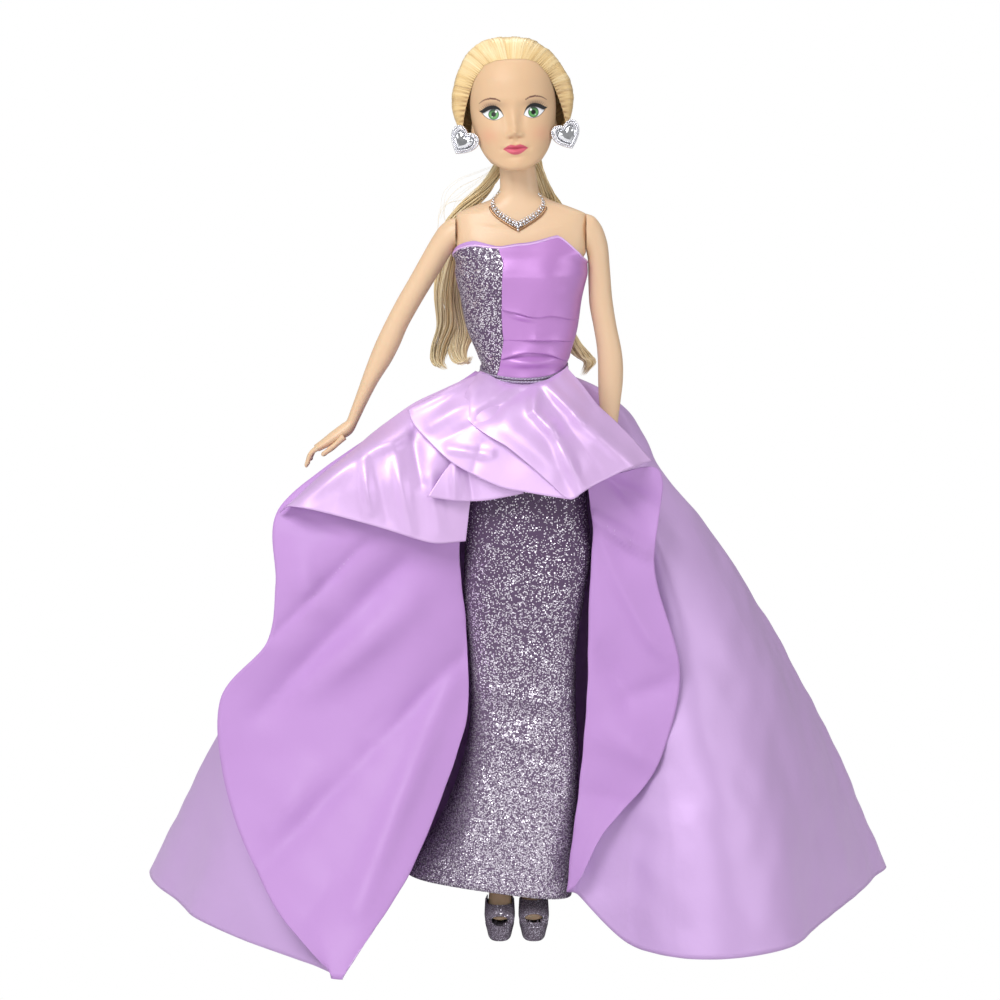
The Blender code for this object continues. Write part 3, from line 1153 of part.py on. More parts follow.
def ribbed_sheet(shares, columns, rows):
    """A grid through a sheet's ribs. The gown fits the body near it and spreads with the train."""
    ribs = np.array(shares)
    out = np.linalg.norm(ribs[..., :2], axis=-1, keepdims=True)
    girth = skirt_half() / GIRTH_SHARES[0]
    near = np.minimum(out, GIRTH_SHARES[1])
    reach = (near * girth + (out - near) * TRAIN_LENGTH) / np.maximum(out, np.finfo(float).tiny)
    level = ribs[..., 2:] * gown_drop() / GIRTH_SHARES[2]
    ribs = smooth(np.concatenate([ribs[..., :2] * reach, level], axis=-1), columns)
    return smooth(ribs.transpose(1, 0, 2), rows)


def train_grid(columns, rows):
    """The train with soft folds that deepen towards its hem behind."""
    grid = ribbed_sheet(TRAIN_SHARES, columns, rows)
    down = np.linspace(0.0, 1.0, rows)[:, None]
    rib = np.linspace(0.0, len(TRAIN_SHARES) - 1, columns)[None, :]
    span = np.clip((rib - BACK_RIBS[0]) / (BACK_RIBS[1] - BACK_RIBS[0]), 0.0, 1.0)
    wave = np.cos(2 * math.pi * BACK_FOLDS * span) * np.sin(math.pi * span) ** 2 * down ** 1.5
    normal = normals_of(grid, False)
    normal[..., 2] = 0.0
    grid = grid + normal * (wave * FOLD_DEPTH)[..., None]
    grid[..., 2] = np.maximum(grid[..., 2], 2 * CLOTH)
    return grid


def make_overskirt(stand):
    """The satin overskirt: two front layers, a flap, and the train with its rolled-back lapels."""
    for name, shares, columns, rows in (("right_lapel", RIGHT_LAPEL_SHARES, 9, 12),
                                        ("left_drape", LEFT_DRAPE_SHARES, 13, 8),
                                        ("side_flap", SIDE_FLAP_SHARES, 9, 6),
                                        ("front_drape", FRONT_DRAPE_SHARES, 19, 9)):
        mesh_object(name, *cloth(ribbed_sheet(shares, columns, rows)), LOOKS["satin"], stand)
    grid = train_grid(51, 12)
    normal = normals_of(grid, False)
    seams = (0, 9, 20, 30, 40, 50)
    names = ("left_lapel", "train_left", "train_back", "train_right", "train_inner")
    for name, first, last in zip(names, seams[:-1], seams[1:]):
        cut = (first > seams[0], last < seams[-1])
        mesh_object(name, *cloth_panel(grid, normal, first, last, cut), LOOKS["satin"], stand)


def build():
    for old in list(bpy.data.objects):
        bpy.data.objects.remove(old, do_unlink=True)
    make_looks()
    stand = bpy.data.objects.new("stand_point", None)
    stand.location = (STAND_X, STAND_Y, 0.0)
    bpy.context.collection.objects.link(stand)
    head = bpy.data.objects.new("head_pivot", None)
    head.location = (NECK_X, 0.0, NECK_TOP + HEAD_SEAT)
    head.rotation_euler = (0.0, HEAD_TILT, HEAD_TURN)
    head.parent = stand
    bpy.context.collection.objects.link(head)
    hearts = {}
    for side, roll in ((-1, RIGHT_HEART_ROLL), (1, LEFT_HEART_ROLL)):
        pivot = bpy.data.objects.new(f"earring_pivot_{side}", None)
        reach = HEART_REACH_SHARE * HEART_HALF
        pivot.location = (side * (LOBE_SHARES[0] * HEAD_HALF + reach * math.sin(HEART_TURN)),
                          LOBE_SHARES[1] * HEAD_DEPTH - reach * math.cos(HEART_TURN),
                          LOBE_SHARES[2] * HEAD_HEIGHT)
        pivot.rotation_euler = (0.0, roll, side * HEART_TURN)
        pivot.parent = head
        bpy.context.collection.objects.link(pivot)
        hearts[side] = pivot
    make_torso(stand)
    make_neck_knob(stand)
    make_head(head, hearts)
    make_hair_crown(head)
    make_ponytail(head, stand)
    make_arm(-1, "arm_right", RIGHT_ARM_SPREAD, RIGHT_HAND_SPREAD, stand)
    make_arm(1, "arm_left", LEFT_ARM_SPREAD, LEFT_HAND_SPREAD, stand)
    for side, name in ((-1, "right"), (1, "left")):
        make_leg(side, "leg_" + name, stand)
        make_shoe(side, "shoe_" + name, stand)
        make_earring(side, "earring_" + name, hearts[side])
    make_hip_bar(stand)
    make_necklace(stand)
    make_bodice(stand)
    make_waist_cord(stand)
    make_glitter_skirt(stand)
    make_overskirt(stand)


build()
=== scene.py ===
# %% [markdown]
# # A fashion doll in a lilac gown
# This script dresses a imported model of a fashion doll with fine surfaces: satin, glitter cloth, hair and a painted
# face. Every surface is a numpy grid of points that is turned into a mesh in one call. Lengths are in millimetres
# about the doll's own upright axis, and one function shifts and scales them to metres in the frame of the model.

import math

import bpy
import numpy as np
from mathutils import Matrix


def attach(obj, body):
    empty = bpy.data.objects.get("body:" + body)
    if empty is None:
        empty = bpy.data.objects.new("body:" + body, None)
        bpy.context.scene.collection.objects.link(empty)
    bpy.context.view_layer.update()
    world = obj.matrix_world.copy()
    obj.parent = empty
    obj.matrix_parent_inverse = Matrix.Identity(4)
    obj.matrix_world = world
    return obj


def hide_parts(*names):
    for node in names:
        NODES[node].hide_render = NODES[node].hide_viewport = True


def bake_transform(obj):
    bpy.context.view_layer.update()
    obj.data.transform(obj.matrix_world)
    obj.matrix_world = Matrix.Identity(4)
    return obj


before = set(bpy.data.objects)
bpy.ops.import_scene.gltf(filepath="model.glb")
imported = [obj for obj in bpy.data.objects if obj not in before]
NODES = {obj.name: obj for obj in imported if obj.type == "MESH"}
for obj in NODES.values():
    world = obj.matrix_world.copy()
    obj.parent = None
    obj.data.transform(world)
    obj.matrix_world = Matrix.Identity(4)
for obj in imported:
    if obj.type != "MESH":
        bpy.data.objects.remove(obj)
STAND = np.array([-0.6, -21.9, 0.0])
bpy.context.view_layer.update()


def bpy_places(points):
    """Metres in the frame of the model, for points in millimetres about the doll's axis."""
    return (np.asarray(points, dtype=float) + STAND) / 1000.0


# %% [markdown]
# ## Grids, curves and meshes
# A curve through key rows is a cubic Hermite curve. Its slope at a key is half the step from the key before to the
# key after, held to the shorter of the two steps, so a sharp fold next to a wide panel doesn't overshoot.

# %% Curve through keys
def full_turn(count):
    """Evenly spread angles once round, without the first one again at the end."""
    return np.linspace(0, 2 * np.pi, count, endpoint=False)


def about_y(angle):
    """The matrix of a turn about Y."""
    return np.array([[math.cos(angle), 0, math.sin(angle)], [0, 1, 0], [-math.sin(angle), 0, math.cos(angle)]])


def bell(*squares):
    """A bell curve: e to the power of minus the sum of the squares of its arguments."""
    return np.exp(-sum(square**2 for square in squares))


def signed_power(value, power):
    """The size of a value raised to a power, with the value's sign."""
    return np.sign(value) * np.abs(value) ** power


def smooth(keys, count, places=None):
    """count rows on a Hermite curve through the key rows, evenly spread over the keys or at given places."""
    keys = np.asarray(keys, dtype=float)
    step = np.diff(keys, axis=0)
    size = np.linalg.norm(step, axis=-1, keepdims=True)
    slope = np.zeros_like(keys)
    slope[1:-1] = (step[1:] + step[:-1]) / 2
    length = np.linalg.norm(slope[1:-1], axis=-1, keepdims=True)
    slope[1:-1] *= np.minimum(1.0, np.minimum(size[1:], size[:-1]) / np.maximum(length, 1e-9))
    slope[0], slope[-1] = step[0], step[-1]
    place = np.linspace(0.0, len(step), count) if places is None else np.asarray(places, dtype=float)
    index = np.minimum(place.astype(int), len(step) - 1)
    part = (place - index).reshape((-1,) + (1,) * (keys.ndim - 1))
    return ((2 * part**3 - 3 * part**2 + 1) * keys[index] + (part**3 - 2 * part**2 + part) * slope[index]
            + (3 * part**2 - 2 * part**3) * keys[index + 1] + (part**3 - part**2) * slope[index + 1])


# %% [markdown]
# A grid of points becomes quads with one `foreach_set` call for each array. A sheet of cloth is two such grids, half
# the thickness either side of the drawn surface, joined by a rim. Its second face may take a second material.

# %% Mesh makers
def quads(rows, columns, wrap=False):
    """Corner indices of the quads of a grid stored row by row."""
    row, column = np.meshgrid(np.arange(rows - 1), np.arange(columns if wrap else columns - 1), indexing="ij")
    after = (column + 1) % columns
    corners = [row * columns + column, row * columns + after, (row + 1) * columns + after, (row + 1) * columns + column]
    return np.stack(corners, axis=-1).reshape(-1, 4)


def mesh_from(name, points, faces, materials, slots=None, attributes=None, scaled=False):
    """A smooth object from points and quads or triangles, with material indices and point attributes."""
    points = np.asarray(points, dtype=np.float32) if scaled else bpy_places(points).astype(np.float32)
    mesh = bpy.data.meshes.new(name)
    mesh.vertices.add(len(points))
    mesh.vertices.foreach_set("co", points.ravel())
    size = faces.shape[1]
    mesh.loops.add(faces.size)
    mesh.loops.foreach_set("vertex_index", faces.astype(np.int32).ravel())
    mesh.polygons.add(len(faces))
    mesh.polygons.foreach_set("loop_start", (np.arange(len(faces)) * size).astype(np.int32))
    for material in materials:
        mesh.materials.append(material)
    if slots is not None:
        mesh.polygons.foreach_set("material_index", np.asarray(slots, dtype=np.int32))
    for key, values in (attributes or {}).items():
        kind = "FLOAT_COLOR" if values.ndim == 2 else "FLOAT"
        layer = mesh.attributes.new(key, kind, "POINT")
        layer.data.foreach_set("color" if values.ndim == 2 else "value", values.astype(np.float32).ravel())
    mesh.update(calc_edges=True)
    mesh.validate()
    mesh.shade_smooth()
    made = bpy.data.objects.new(name, mesh)
    bpy.context.scene.collection.objects.link(made)
    return made


def finished(piece, slot, body, *nodes):
    if nodes:
        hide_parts(*nodes)
    if body:
        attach(piece, body)
    return piece


def unit_steps(line):
    """Unit vectors along a line, or along each of several lines."""
    ahead = np.gradient(line, axis=-2)
    return ahead / np.maximum(np.linalg.norm(ahead, axis=-1, keepdims=True), 1e-9)


def normals(grid, wrap=False):
    """Unit normals of a grid from the steps to its neighbours."""
    across = (np.roll(grid, -1, axis=1) - np.roll(grid, 1, axis=1)) if wrap else np.gradient(grid, axis=1)
    normal = np.cross(across, np.gradient(grid, axis=0))
    return normal / np.maximum(np.linalg.norm(normal, axis=-1, keepdims=True), 1e-12)


def sheet(name, grid, materials, thickness=0.35, wrap=False):
    """A sheet of cloth about a grid. The first material is on the side its normals leave, the second on the other."""
    rows, columns, _ = grid.shape
    half = normals(grid, wrap) * thickness / 2
    points = np.concatenate([(grid + half).reshape(-1, 3), (grid - half).reshape(-1, 3)])
    face = quads(rows, columns, wrap)
    second = rows * columns
    top, bottom = np.arange(columns), np.arange(columns) + (rows - 1) * columns
    left, right = np.arange(rows) * columns, np.arange(rows) * columns + columns - 1
    rims = [np.stack([line[:-1], line[1:], line[1:] + second, line[:-1] + second], axis=1)
            for line in ((top, bottom) if wrap else (top, bottom, left, right))]
    if wrap:
        rims += [np.array([[line[-1], line[0], line[0] + second, line[-1] + second]]) for line in (top, bottom)]
    flips = [rim[:, ::-1] if number in (0, 3) else rim for number, rim in enumerate(rims)]
    faces = np.concatenate([face, face[:, ::-1] + second, *flips])
    slots = np.concatenate([np.zeros(len(face)), np.ones(len(face)), np.zeros(sum(len(r) for r in rims))])
    return mesh_from(name, points, faces, materials, slots if len(materials) > 1 else None)


def tubes(name, paths, radii, materials, sides=3, attributes=None):
    """Many thin tubes as one mesh. paths is tubes by points by 3, radii is tubes by points."""
    count, steps, _ = paths.shape
    ahead = unit_steps(paths)
    side = np.cross(ahead, np.array([0.31, -0.89, 0.33]))
    side /= np.maximum(np.linalg.norm(side, axis=-1, keepdims=True), 1e-9)
    rise = np.cross(side, ahead)
    turn = full_turn(sides)
    ring = np.cos(turn)[:, None] * side[:, :, None] + np.sin(turn)[:, None] * rise[:, :, None]
    points = paths[:, :, None] + ring * radii[:, :, None, None]
    one = quads(steps, sides, True)
    faces = (one[None] + (np.arange(count) * steps * sides)[:, None, None]).reshape(-1, 4)
    spread = {key: np.repeat(v.reshape(-1), sides) for key, v in (attributes or {}).items()}
    return mesh_from(name, points.reshape(-1, 3), faces, materials, None, spread)


# %% [markdown]
# ## Materials
# Each material is a Principled shader with named inputs. The glitter cloth has one random number for each tiny cell
# of a Voronoi pattern: some cells are silver flakes that face their own way, and the rest are dark plum cloth.

# %% Materials
def node_of(tree, kind, operation=None, second=None, **inputs):
    """A shader node with its operation or data type, its second input and some of its named inputs set."""
    node = tree.nodes.new("ShaderNode" + kind)
    if operation:
        setattr(node, "data_type" if kind == "Mix" else "operation", operation)
    if second is not None:
        node.inputs[1].default_value = second
    for key, value in inputs.items():
        node.inputs[key.replace("_", " ")].default_value = value
    return node


def wire(tree, *links):
    """Link nodes, each link given as a node, its output, another node and its input."""
    for source, output, target, entry in links:
        tree.links.new(source.outputs[output], target.inputs[entry])


def principled(name, color, roughness, **more):
    """A material with one Principled shader."""
    made = bpy.data.materials.new(name)
    made.use_nodes = True
    shader = made.node_tree.nodes["Principled BSDF"]
    shader.inputs["Base Color"].default_value = (*color, 1.0)
    shader.inputs["Roughness"].default_value = roughness
    for key, value in more.items():
        shader.inputs[key.replace("_", " ")].default_value = value
    return made


def grained(name, color, roughness, scale=420, strength=0.08, distance=0.0004, **more):
    """A material with fine bumps from a noise in object space."""
    made = principled(name, color, roughness, **more)
    tree = made.node_tree
    place = node_of(tree, "TexCoord")
    noise = node_of(tree, "TexNoise", Scale=scale, Detail=4.0)
    bump = node_of(tree, "Bump", Strength=strength, Distance=distance)
    wire(tree, (place, "Object", noise, "Vector"), (noise, "Fac", bump, "Height"),
         (bump, "Normal", tree.nodes["Principled BSDF"], "Normal"))
    return made


def glitter(name, ground, flake, share_low, share_high, cell, ground_low=None):
    """Dark cloth with silver flakes, thicker towards the floor. cell is the pattern's scale per metre.

    A cell is a flake where its random number is below the share at its height. A flake's normal is the surface's
    plus 0.85 times a random vector. Away from the middle of its cell a flake gives way to the ground.
    """
    made = principled(name, ground, 0.55)
    tree = made.node_tree
    shader = tree.nodes["Principled BSDF"]
    place, geometry = node_of(tree, "TexCoord"), node_of(tree, "NewGeometry")
    cells = node_of(tree, "TexVoronoi", Scale=cell)
    split, height = node_of(tree, "SeparateColor"), node_of(tree, "SeparateXYZ")
    share = node_of(tree, "MapRange", From_Min=0.02, From_Max=0.15, To_Min=share_low, To_Max=share_high)
    reach = node_of(tree, "MapRange", From_Min=0.03, From_Max=0.14)
    rough = node_of(tree, "MapRange", To_Min=0.6, To_Max=0.28)
    less, inside = node_of(tree, "Math", "LESS_THAN"), node_of(tree, "Math", "LESS_THAN", 0.52)
    both, shine, scale = (node_of(tree, "Math", "MULTIPLY", second) for second in (None, 0.6, 0.85))
    tilt, weigh = node_of(tree, "VectorMath", "SUBTRACT", (0.5, 0.5, 0.5)), node_of(tree, "VectorMath", "SCALE")
    total, unit = node_of(tree, "VectorMath", "ADD"), node_of(tree, "VectorMath", "NORMALIZE")
    fade = node_of(tree, "Mix", "RGBA", A=(*(ground_low or ground), 1.0), B=(*ground, 1.0))
    color = node_of(tree, "Mix", "RGBA", B=(*flake, 1.0))
    wire(tree, (place, "Object", cells, "Vector"), (place, "Object", height, "Vector"), (height, "Z", share, "Value"),
         (height, "Z", reach, "Value"), (reach, "Result", fade, "Factor"), (fade, "Result", color, "A"),
         (cells, "Color", split, "Color"), (split, "Red", less, 0), (share, "Result", less, 1),
         (cells, "Distance", inside, 0), (less, "Value", both, 0), (inside, "Value", both, 1),
         (both, "Value", color, "Factor"), (color, "Result", shader, "Base Color"), (both, "Value", shine, 0),
         (shine, "Value", shader, "Metallic"), (cells, "Color", tilt, 0), (tilt, "Vector", weigh, 0),
         (both, "Value", scale, 0), (scale, "Value", weigh, "Scale"), (weigh, "Vector", total, 0),
         (geometry, "Normal", total, 1), (total, "Vector", unit, 0), (unit, "Vector", shader, "Normal"),
         (both, "Value", rough, "Value"), (rough, "Result", shader, "Roughness"))
    return made


SKIN = principled("skin", (0.76, 0.53, 0.34), 0.40, Subsurface_Weight=0.08, Subsurface_Scale=0.002)
# The drapes' satin is the bodice's satin painted lighter, standing in for the light on cloth that faces up.
SATIN_PAINTED_LIGHTER = grained("satin_outer_painted_lighter", (0.75, 0.50, 0.85), 0.42, Metallic=0.30, Specular_IOR_Level=0.8)
BODICE_SATIN = grained("satin_bodice", (0.54, 0.25, 0.63), 0.40, Metallic=0.25, Specular_IOR_Level=0.8)
LINING = grained("satin_inner", (0.54, 0.30, 0.66), 0.48, Specular_IOR_Level=0.35)
TRAIN = grained("satin_train", (0.62, 0.41, 0.74), 0.42, 300, 0.12, 0.0006, Metallic=0.15)
GLITTER = glitter("glitter_cloth", (0.085, 0.045, 0.105), (0.90, 0.85, 0.94), 0.86, 0.24, 2300, (0.17, 0.12, 0.20))
BODICE_GLITTER = glitter("glitter_bodice", (0.10, 0.06, 0.12), (0.92, 0.88, 0.96), 0.80, 0.54, 2300)
SILVER = principled("silver", (0.78, 0.78, 0.82), 0.18, Metallic=1.0)
MIRROR = principled("mirror_stone", (0.92, 0.93, 0.96), 0.03, Metallic=1.0)
SHOE = glitter("shoe_glitter", (0.12, 0.095, 0.13), (0.60, 0.56, 0.66), 0.40, 0.40, 3600)
# The shoes' insides are painted near black: painted shade in the toe openings and throats.
SHOE_INSIDE_PAINTED_SHADE = principled("shoe_inside_painted_shade", (0.02, 0.015, 0.02), 0.8)
BRONZE = principled("bronze_setting", (0.42, 0.24, 0.13), 0.35, Metallic=0.8)
CORD = principled("waist_cord", (0.40, 0.34, 0.46), 0.30, Metallic=0.6)
HIDDEN = principled("hard_plastic", (0.70, 0.48, 0.32), 0.45)
TAPE = principled("closure_tape", (0.72, 0.70, 0.76), 0.9)
for node_name in ("neck_knob", "hip_bar", "shoulder_peg_left", "shoulder_peg_right"):
    NODES[node_name].data.materials.clear()
    NODES[node_name].data.materials.append(HIDDEN)

# %% [markdown]
# ## The head
# The head is a grid of rows from the neck hole to the crown and angles round it. Its columns lie close together on
# the face. Soft hills and hollows, each a bell curve across x and z, sculpt the features on the front.

# %% Head shape
HEAD_HALF, HEAD_DEPTH, HEAD_HEIGHT = 14.3, 16.6, 38.5
HEAD_ROWS = np.array([
    (-0.42, 0.000, 0.46, 0.00, 0.000, 0.42, 0.000), (-0.56, -0.024, 0.56, -0.06, 0.004, 0.50, 0.006),
    (-0.74, -0.060, 0.66, -0.18, 0.050, 0.62, 0.045), (-0.86, -0.042, 0.76, -0.26, 0.110, 0.74, 0.110),
    (-0.90, 0.040, 0.85, -0.16, 0.190, 0.86, 0.200), (-0.91, 0.130, 0.93, -0.08, 0.290, 0.95, 0.310),
    (-0.89, 0.260, 0.98, 0.00, 0.400, 0.99, 0.430), (-0.84, 0.430, 1.00, 0.03, 0.520, 1.00, 0.540),
    (-0.87, 0.570, 0.99, 0.06, 0.630, 0.97, 0.650), (-0.83, 0.720, 0.94, 0.08, 0.740, 0.90, 0.760),
    (-0.66, 0.860, 0.78, 0.10, 0.860, 0.74, 0.870), (-0.36, 0.955, 0.50, 0.11, 0.950, 0.46, 0.955),
    (0.06, 1.000, 0.06, 0.12, 1.000, 0.17, 1.000),
])
# Each feature: x, z, width, height of the bell, and how far it comes out. Pairs are mirrored.
FEATURES = [
    (6.4, 17.0, 3.4, 2.3, -0.75), (6.5, 16.3, 2.2, 1.5, 0.42), (5.5, 20.8, 4.5, 1.6, 0.28),
    (2.9, 15.6, 1.3, 3.2, -0.45), (8.2, 10.2, 3.6, 3.4, 0.55), (2.05, 9.3, 0.95, 0.85, 0.75), (1.35, 8.35, 0.65, 0.40, -0.35),
    (4.5, 5.0, 1.0, 1.0, -0.30), (1.5, 5.8, 1.3, 0.55, 0.30), (5.5, 2.0, 2.5, 2.5, -0.15),
    (0.0, 16.0, 1.8, 3.6, 0.65), (0.0, 12.6, 1.45, 2.6, 1.00), (0.0, 10.1, 1.65, 1.35, 1.85),
    (0.0, 7.0, 0.7, 0.9, -0.22), (0.0, 5.75, 2.7, 0.62, 0.50), (0.0, 4.97, 3.1, 0.20, -0.42),
    (0.0, 3.95, 2.1, 0.72, 0.72), (0.0, 2.1, 2.4, 0.6, -0.32), (0.0, -0.6, 3.0, 1.8, 0.45),
]


def head_points(rise, angle, offset=0.0):
    """Points on the head in its own frame, for shares of the way up and angles round from the face, moved out."""
    at = np.clip(rise, 0.0, 1.0) * (len(HEAD_ROWS) - 1)
    flat = smooth(HEAD_ROWS, 0, at.ravel()) if np.ndim(at) else smooth(HEAD_ROWS, 0, np.array([at]))
    front_y, front_z, side_x, side_y, side_z, back_y, back_z = np.moveaxis(flat, -1, 0).reshape((7,) + np.shape(at))
    cosine, sine = np.cos(angle), np.sin(angle)
    facing = cosine > 0
    reach = np.where(facing, front_y, back_y) * HEAD_DEPTH
    level = np.where(facing, front_z, back_z) * HEAD_HEIGHT
    x = side_x * HEAD_HALF * signed_power(sine, 0.92)
    y = side_y * HEAD_DEPTH + (reach - side_y * HEAD_DEPTH) * np.abs(cosine) ** 0.92
    z = side_z * HEAD_HEIGHT + (level - side_z * HEAD_HEIGHT) * cosine**2
    points = np.stack([x, y, z], axis=-1)
    away = points - np.array([0.0, 0.06 * HEAD_DEPTH, 0.46 * HEAD_HEIGHT])
    away /= np.linalg.norm(away, axis=-1, keepdims=True)
    return points + away * np.asarray(offset)[..., None]


def sculpted(points):
    """Move the front of the head out and in by its features."""
    x, y, z = points[..., 0], points[..., 1], points[..., 2]
    front = np.clip((-y - 1.0) / 4.0, 0.0, 1.0)
    out = np.zeros_like(x)
    for place, level, width, height, size in FEATURES:
        for mirror in ((1, -1) if place else (1,)):
            out += size * bell((x - mirror * place) / width, (z - level) / height)
    moved = points.copy()
    moved[..., 1] -= out * front
    return moved


TILTED = about_y(math.radians(-3.4))


def on_doll(points):
    """From the head's own frame to the doll's."""
    return points @ TILTED.T + np.array([-1.7, 0.0, 262.7])


# %% [markdown]
# The face is painted point by point. A shape is inside where its signed distance is below zero, and a soft step
# of the distance gives a clean edge. The eye is drawn once, in millimetres outwards and upwards from its iris.

# %% Face paint
def srgb(*values):
    """Linear colour from 0 to 255 screen values."""
    part = np.array(values) / 255.0
    return np.where(part <= 0.04045, part / 12.92, ((part + 0.055) / 1.055) ** 2.4)


def soft(distance, edge=0.07):
    """1 inside a shape and 0 outside, with a soft edge."""
    return np.clip(0.5 - distance / edge, 0.0, 1.0)


def stroke(x, z, points, wide):
    """Signed distance to a line through points, with a half width at each point."""
    points, wide = np.array(points, dtype=float), np.array(wide, dtype=float)
    best = np.full(x.shape, 1e3)
    for start, end, one, two in zip(points[:-1], points[1:], wide[:-1], wide[1:]):
        run = end - start
        along = np.clip(((x - start[0]) * run[0] + (z - start[1]) * run[1]) / (run @ run), 0, 1)
        away = np.hypot(x - start[0] - along * run[0], z - start[1] - along * run[1])
        best = np.minimum(best, away - (one + (two - one) * along))
    return best


def curve(points, count=40):
    """A smooth line through points, from left to right."""
    return smooth(np.array(points, dtype=float), count)


def over(color, paint, amount):
    """Lay paint over a colour."""
    return color + (np.asarray(paint) - color) * amount[..., None]


def paint_face(points):
    """Colours of the face's points: skin, blush, lips, eyes, brows, and painted shade at the nostrils and under the
    upper lids.
    """
    x, z = points[..., 0], points[..., 2]
    front = points[..., 1] < 0
    color = np.broadcast_to(srgb(219, 182, 144), x.shape + (3,)).copy()
    wide = np.abs(x)
    color = over(color, srgb(224, 140, 118), 0.30 * bell((wide - 8.6) / 3.2, (z - 9.5) / 2.6))
    # Painted shade: soft brown in and under the nostrils.
    color = over(color, srgb(176, 112, 84), 0.40 * bell((wide - 1.35) / 0.7, (z - 8.45) / 0.38))
    upper = np.interp(wide, [0.0, 0.5, 1.5, 2.6, 3.5, 4.15], [1.05, 1.15, 1.38, 1.0, 0.45, 0.0])
    lower = np.interp(wide, [0.0, 0.8, 1.6, 2.6, 3.5, 4.15], [-2.0, -1.93, -1.66, -1.08, -0.42, 0.0])
    level = z - 4.95
    inside = np.maximum(level - upper, lower - level)
    color = over(color, srgb(203, 84, 106), soft(inside, 0.16) * (wide < 4.15) * front)
    line = np.interp(wide, [0.0, 0.7, 1.6, 3.9], [-0.16, -0.10, 0.06, 0.02])
    color = over(color, srgb(216, 100, 120), 0.8 * soft(inside + 0.35, 0.5) * (level < line) * front * (wide < 3.0))
    color = over(color, srgb(150, 45, 66), 0.85 * soft(np.abs(level - line) - 0.07, 0.16) * (wide < 3.9) * front)
    out, rise = wide - 6.5, z - 16.4
    top = curve([(3.5, 0.55), (2.85, 0.75), (2.35, 1.05), (1.17, 1.52), (0, 1.72), (-1.17, 1.58), (-2.35, 0.78),
                 (-3.3, -0.85)])
    lid = curve([(4.7, 1.25), (3.85, 1.62), (2.5, 2.45), (1.17, 2.86), (0, 2.96), (-1.17, 2.56), (-2.18, 1.74),
                 (-2.85, 0.5), (-3.3, -0.72)])
    below = curve([(3.9, 0.65), (2.85, -0.50), (1.68, -1.36), (0, -1.88), (-1.5, -1.66), (-2.5, -1.18), (-3.2, -0.72)])
    color = over(color, srgb(120, 92, 84), 0.62 * bell((out - 0.6) / 2.9, (rise - 2.9) / 1.15) * front)
    at_top, at_lid, at_below = (np.interp(-out, -edge[:, 0], edge[:, 1], left=beyond, right=beyond)
                                for edge, beyond in ((top, -9), (lid, -9), (below, 9)))
    opening = np.maximum(rise - at_top, at_below - rise)
    color = over(color, srgb(238, 238, 242), soft(opening) * front)
    far = np.hypot(out, rise)
    in_iris = soft(np.maximum(far - 1.75, opening))
    color = over(color, srgb(26, 58, 36), in_iris * front)
    ray = 0.5 + 0.5 * np.sin(np.arctan2(rise, out) * 22)
    green = (1 - 0.20 * ray[..., None]) * srgb(104, 172, 98)
    # Painted shade: the green fades towards the top of the iris, where the upper lid's shade falls.
    ring = soft(np.maximum(far - 1.52, 0.80 - far), 0.22) * np.clip(1.05 - (rise - 0.1) * 0.75, 0, 1)
    color = color + (green - color) * (ring * soft(opening) * front)[..., None]
    color = over(color, srgb(8, 10, 12), soft(np.maximum(far - 0.70, opening)) * front)
    # Painted shade: the eye white goes grey just under the upper lid.
    color = over(color, srgb(70, 70, 78), 0.55 * soft(opening) * np.clip(1 - (at_top - rise) / 0.55, 0, 1) * front)
    band = np.maximum(rise - at_lid, at_top - rise)
    band = np.where(out > 3.5, np.maximum(rise - at_lid, np.interp(out, [3.5, 4.7], [0.55, 1.18]) - rise), band)
    color = over(color, srgb(14, 12, 16), soft(band) * (out < 4.72) * (out > -3.3) * front)
    lashes = stroke(out, rise, below, np.linspace(0.11, 0.05, len(below)))
    color = over(color, srgb(52, 36, 36), 0.9 * soft(lashes) * front)
    for start, lean, length in ((4.3, 62, 0.75), (3.9, 56, 0.95), (3.4, 48, 1.05), (2.9, 40, 1.10), (2.4, 32, 1.10),
                                (1.9, 25, 1.05), (1.3, 18, 0.95), (0.7, 10, 0.85), (0.0, 3, 0.75), (-0.7, -6, 0.65)):
        root = np.interp(-start, -lid[:, 0], lid[:, 1]) - 0.1
        tip = (start + length * math.sin(math.radians(lean)), root + length * math.cos(math.radians(lean)))
        lash = stroke(out, rise, [(start, root), tip], [0.075, 0.02])
        color = over(color, srgb(20, 16, 18), 0.85 * soft(lash) * front)
    brow = curve([(4.6, 3.75), (2.95, 4.75), (0.8, 5.15), (-0.9, 4.90), (-2.3, 4.20)])
    thick = np.interp(np.linspace(0, 1, len(brow)), [0, 0.5, 1], [0.07, 0.27, 0.17])
    color = over(color, srgb(92, 46, 42), 0.95 * soft(stroke(out, rise, brow, thick), 0.14) * front)
    for place, height, size in ((-0.80, 0.85, 0.36), (0.55, -0.75, 0.14)):
        color = over(color, srgb(255, 255, 255), soft(np.hypot(out - place, rise - height) - size) * front)
    return color


def spread(low, high, count, centres):
    """Values from low to high, closer together near some centres (value, width, strength)."""
    fine = np.linspace(low, high, 4000)
    weight = 1.0 + sum(strength * bell((fine - centre) / width) for centre, width, strength in centres)
    total = np.concatenate([[0.0], np.cumsum((weight[1:] + weight[:-1]) / 2)])
    return np.interp(np.linspace(0, total[-1], count), total, fine)


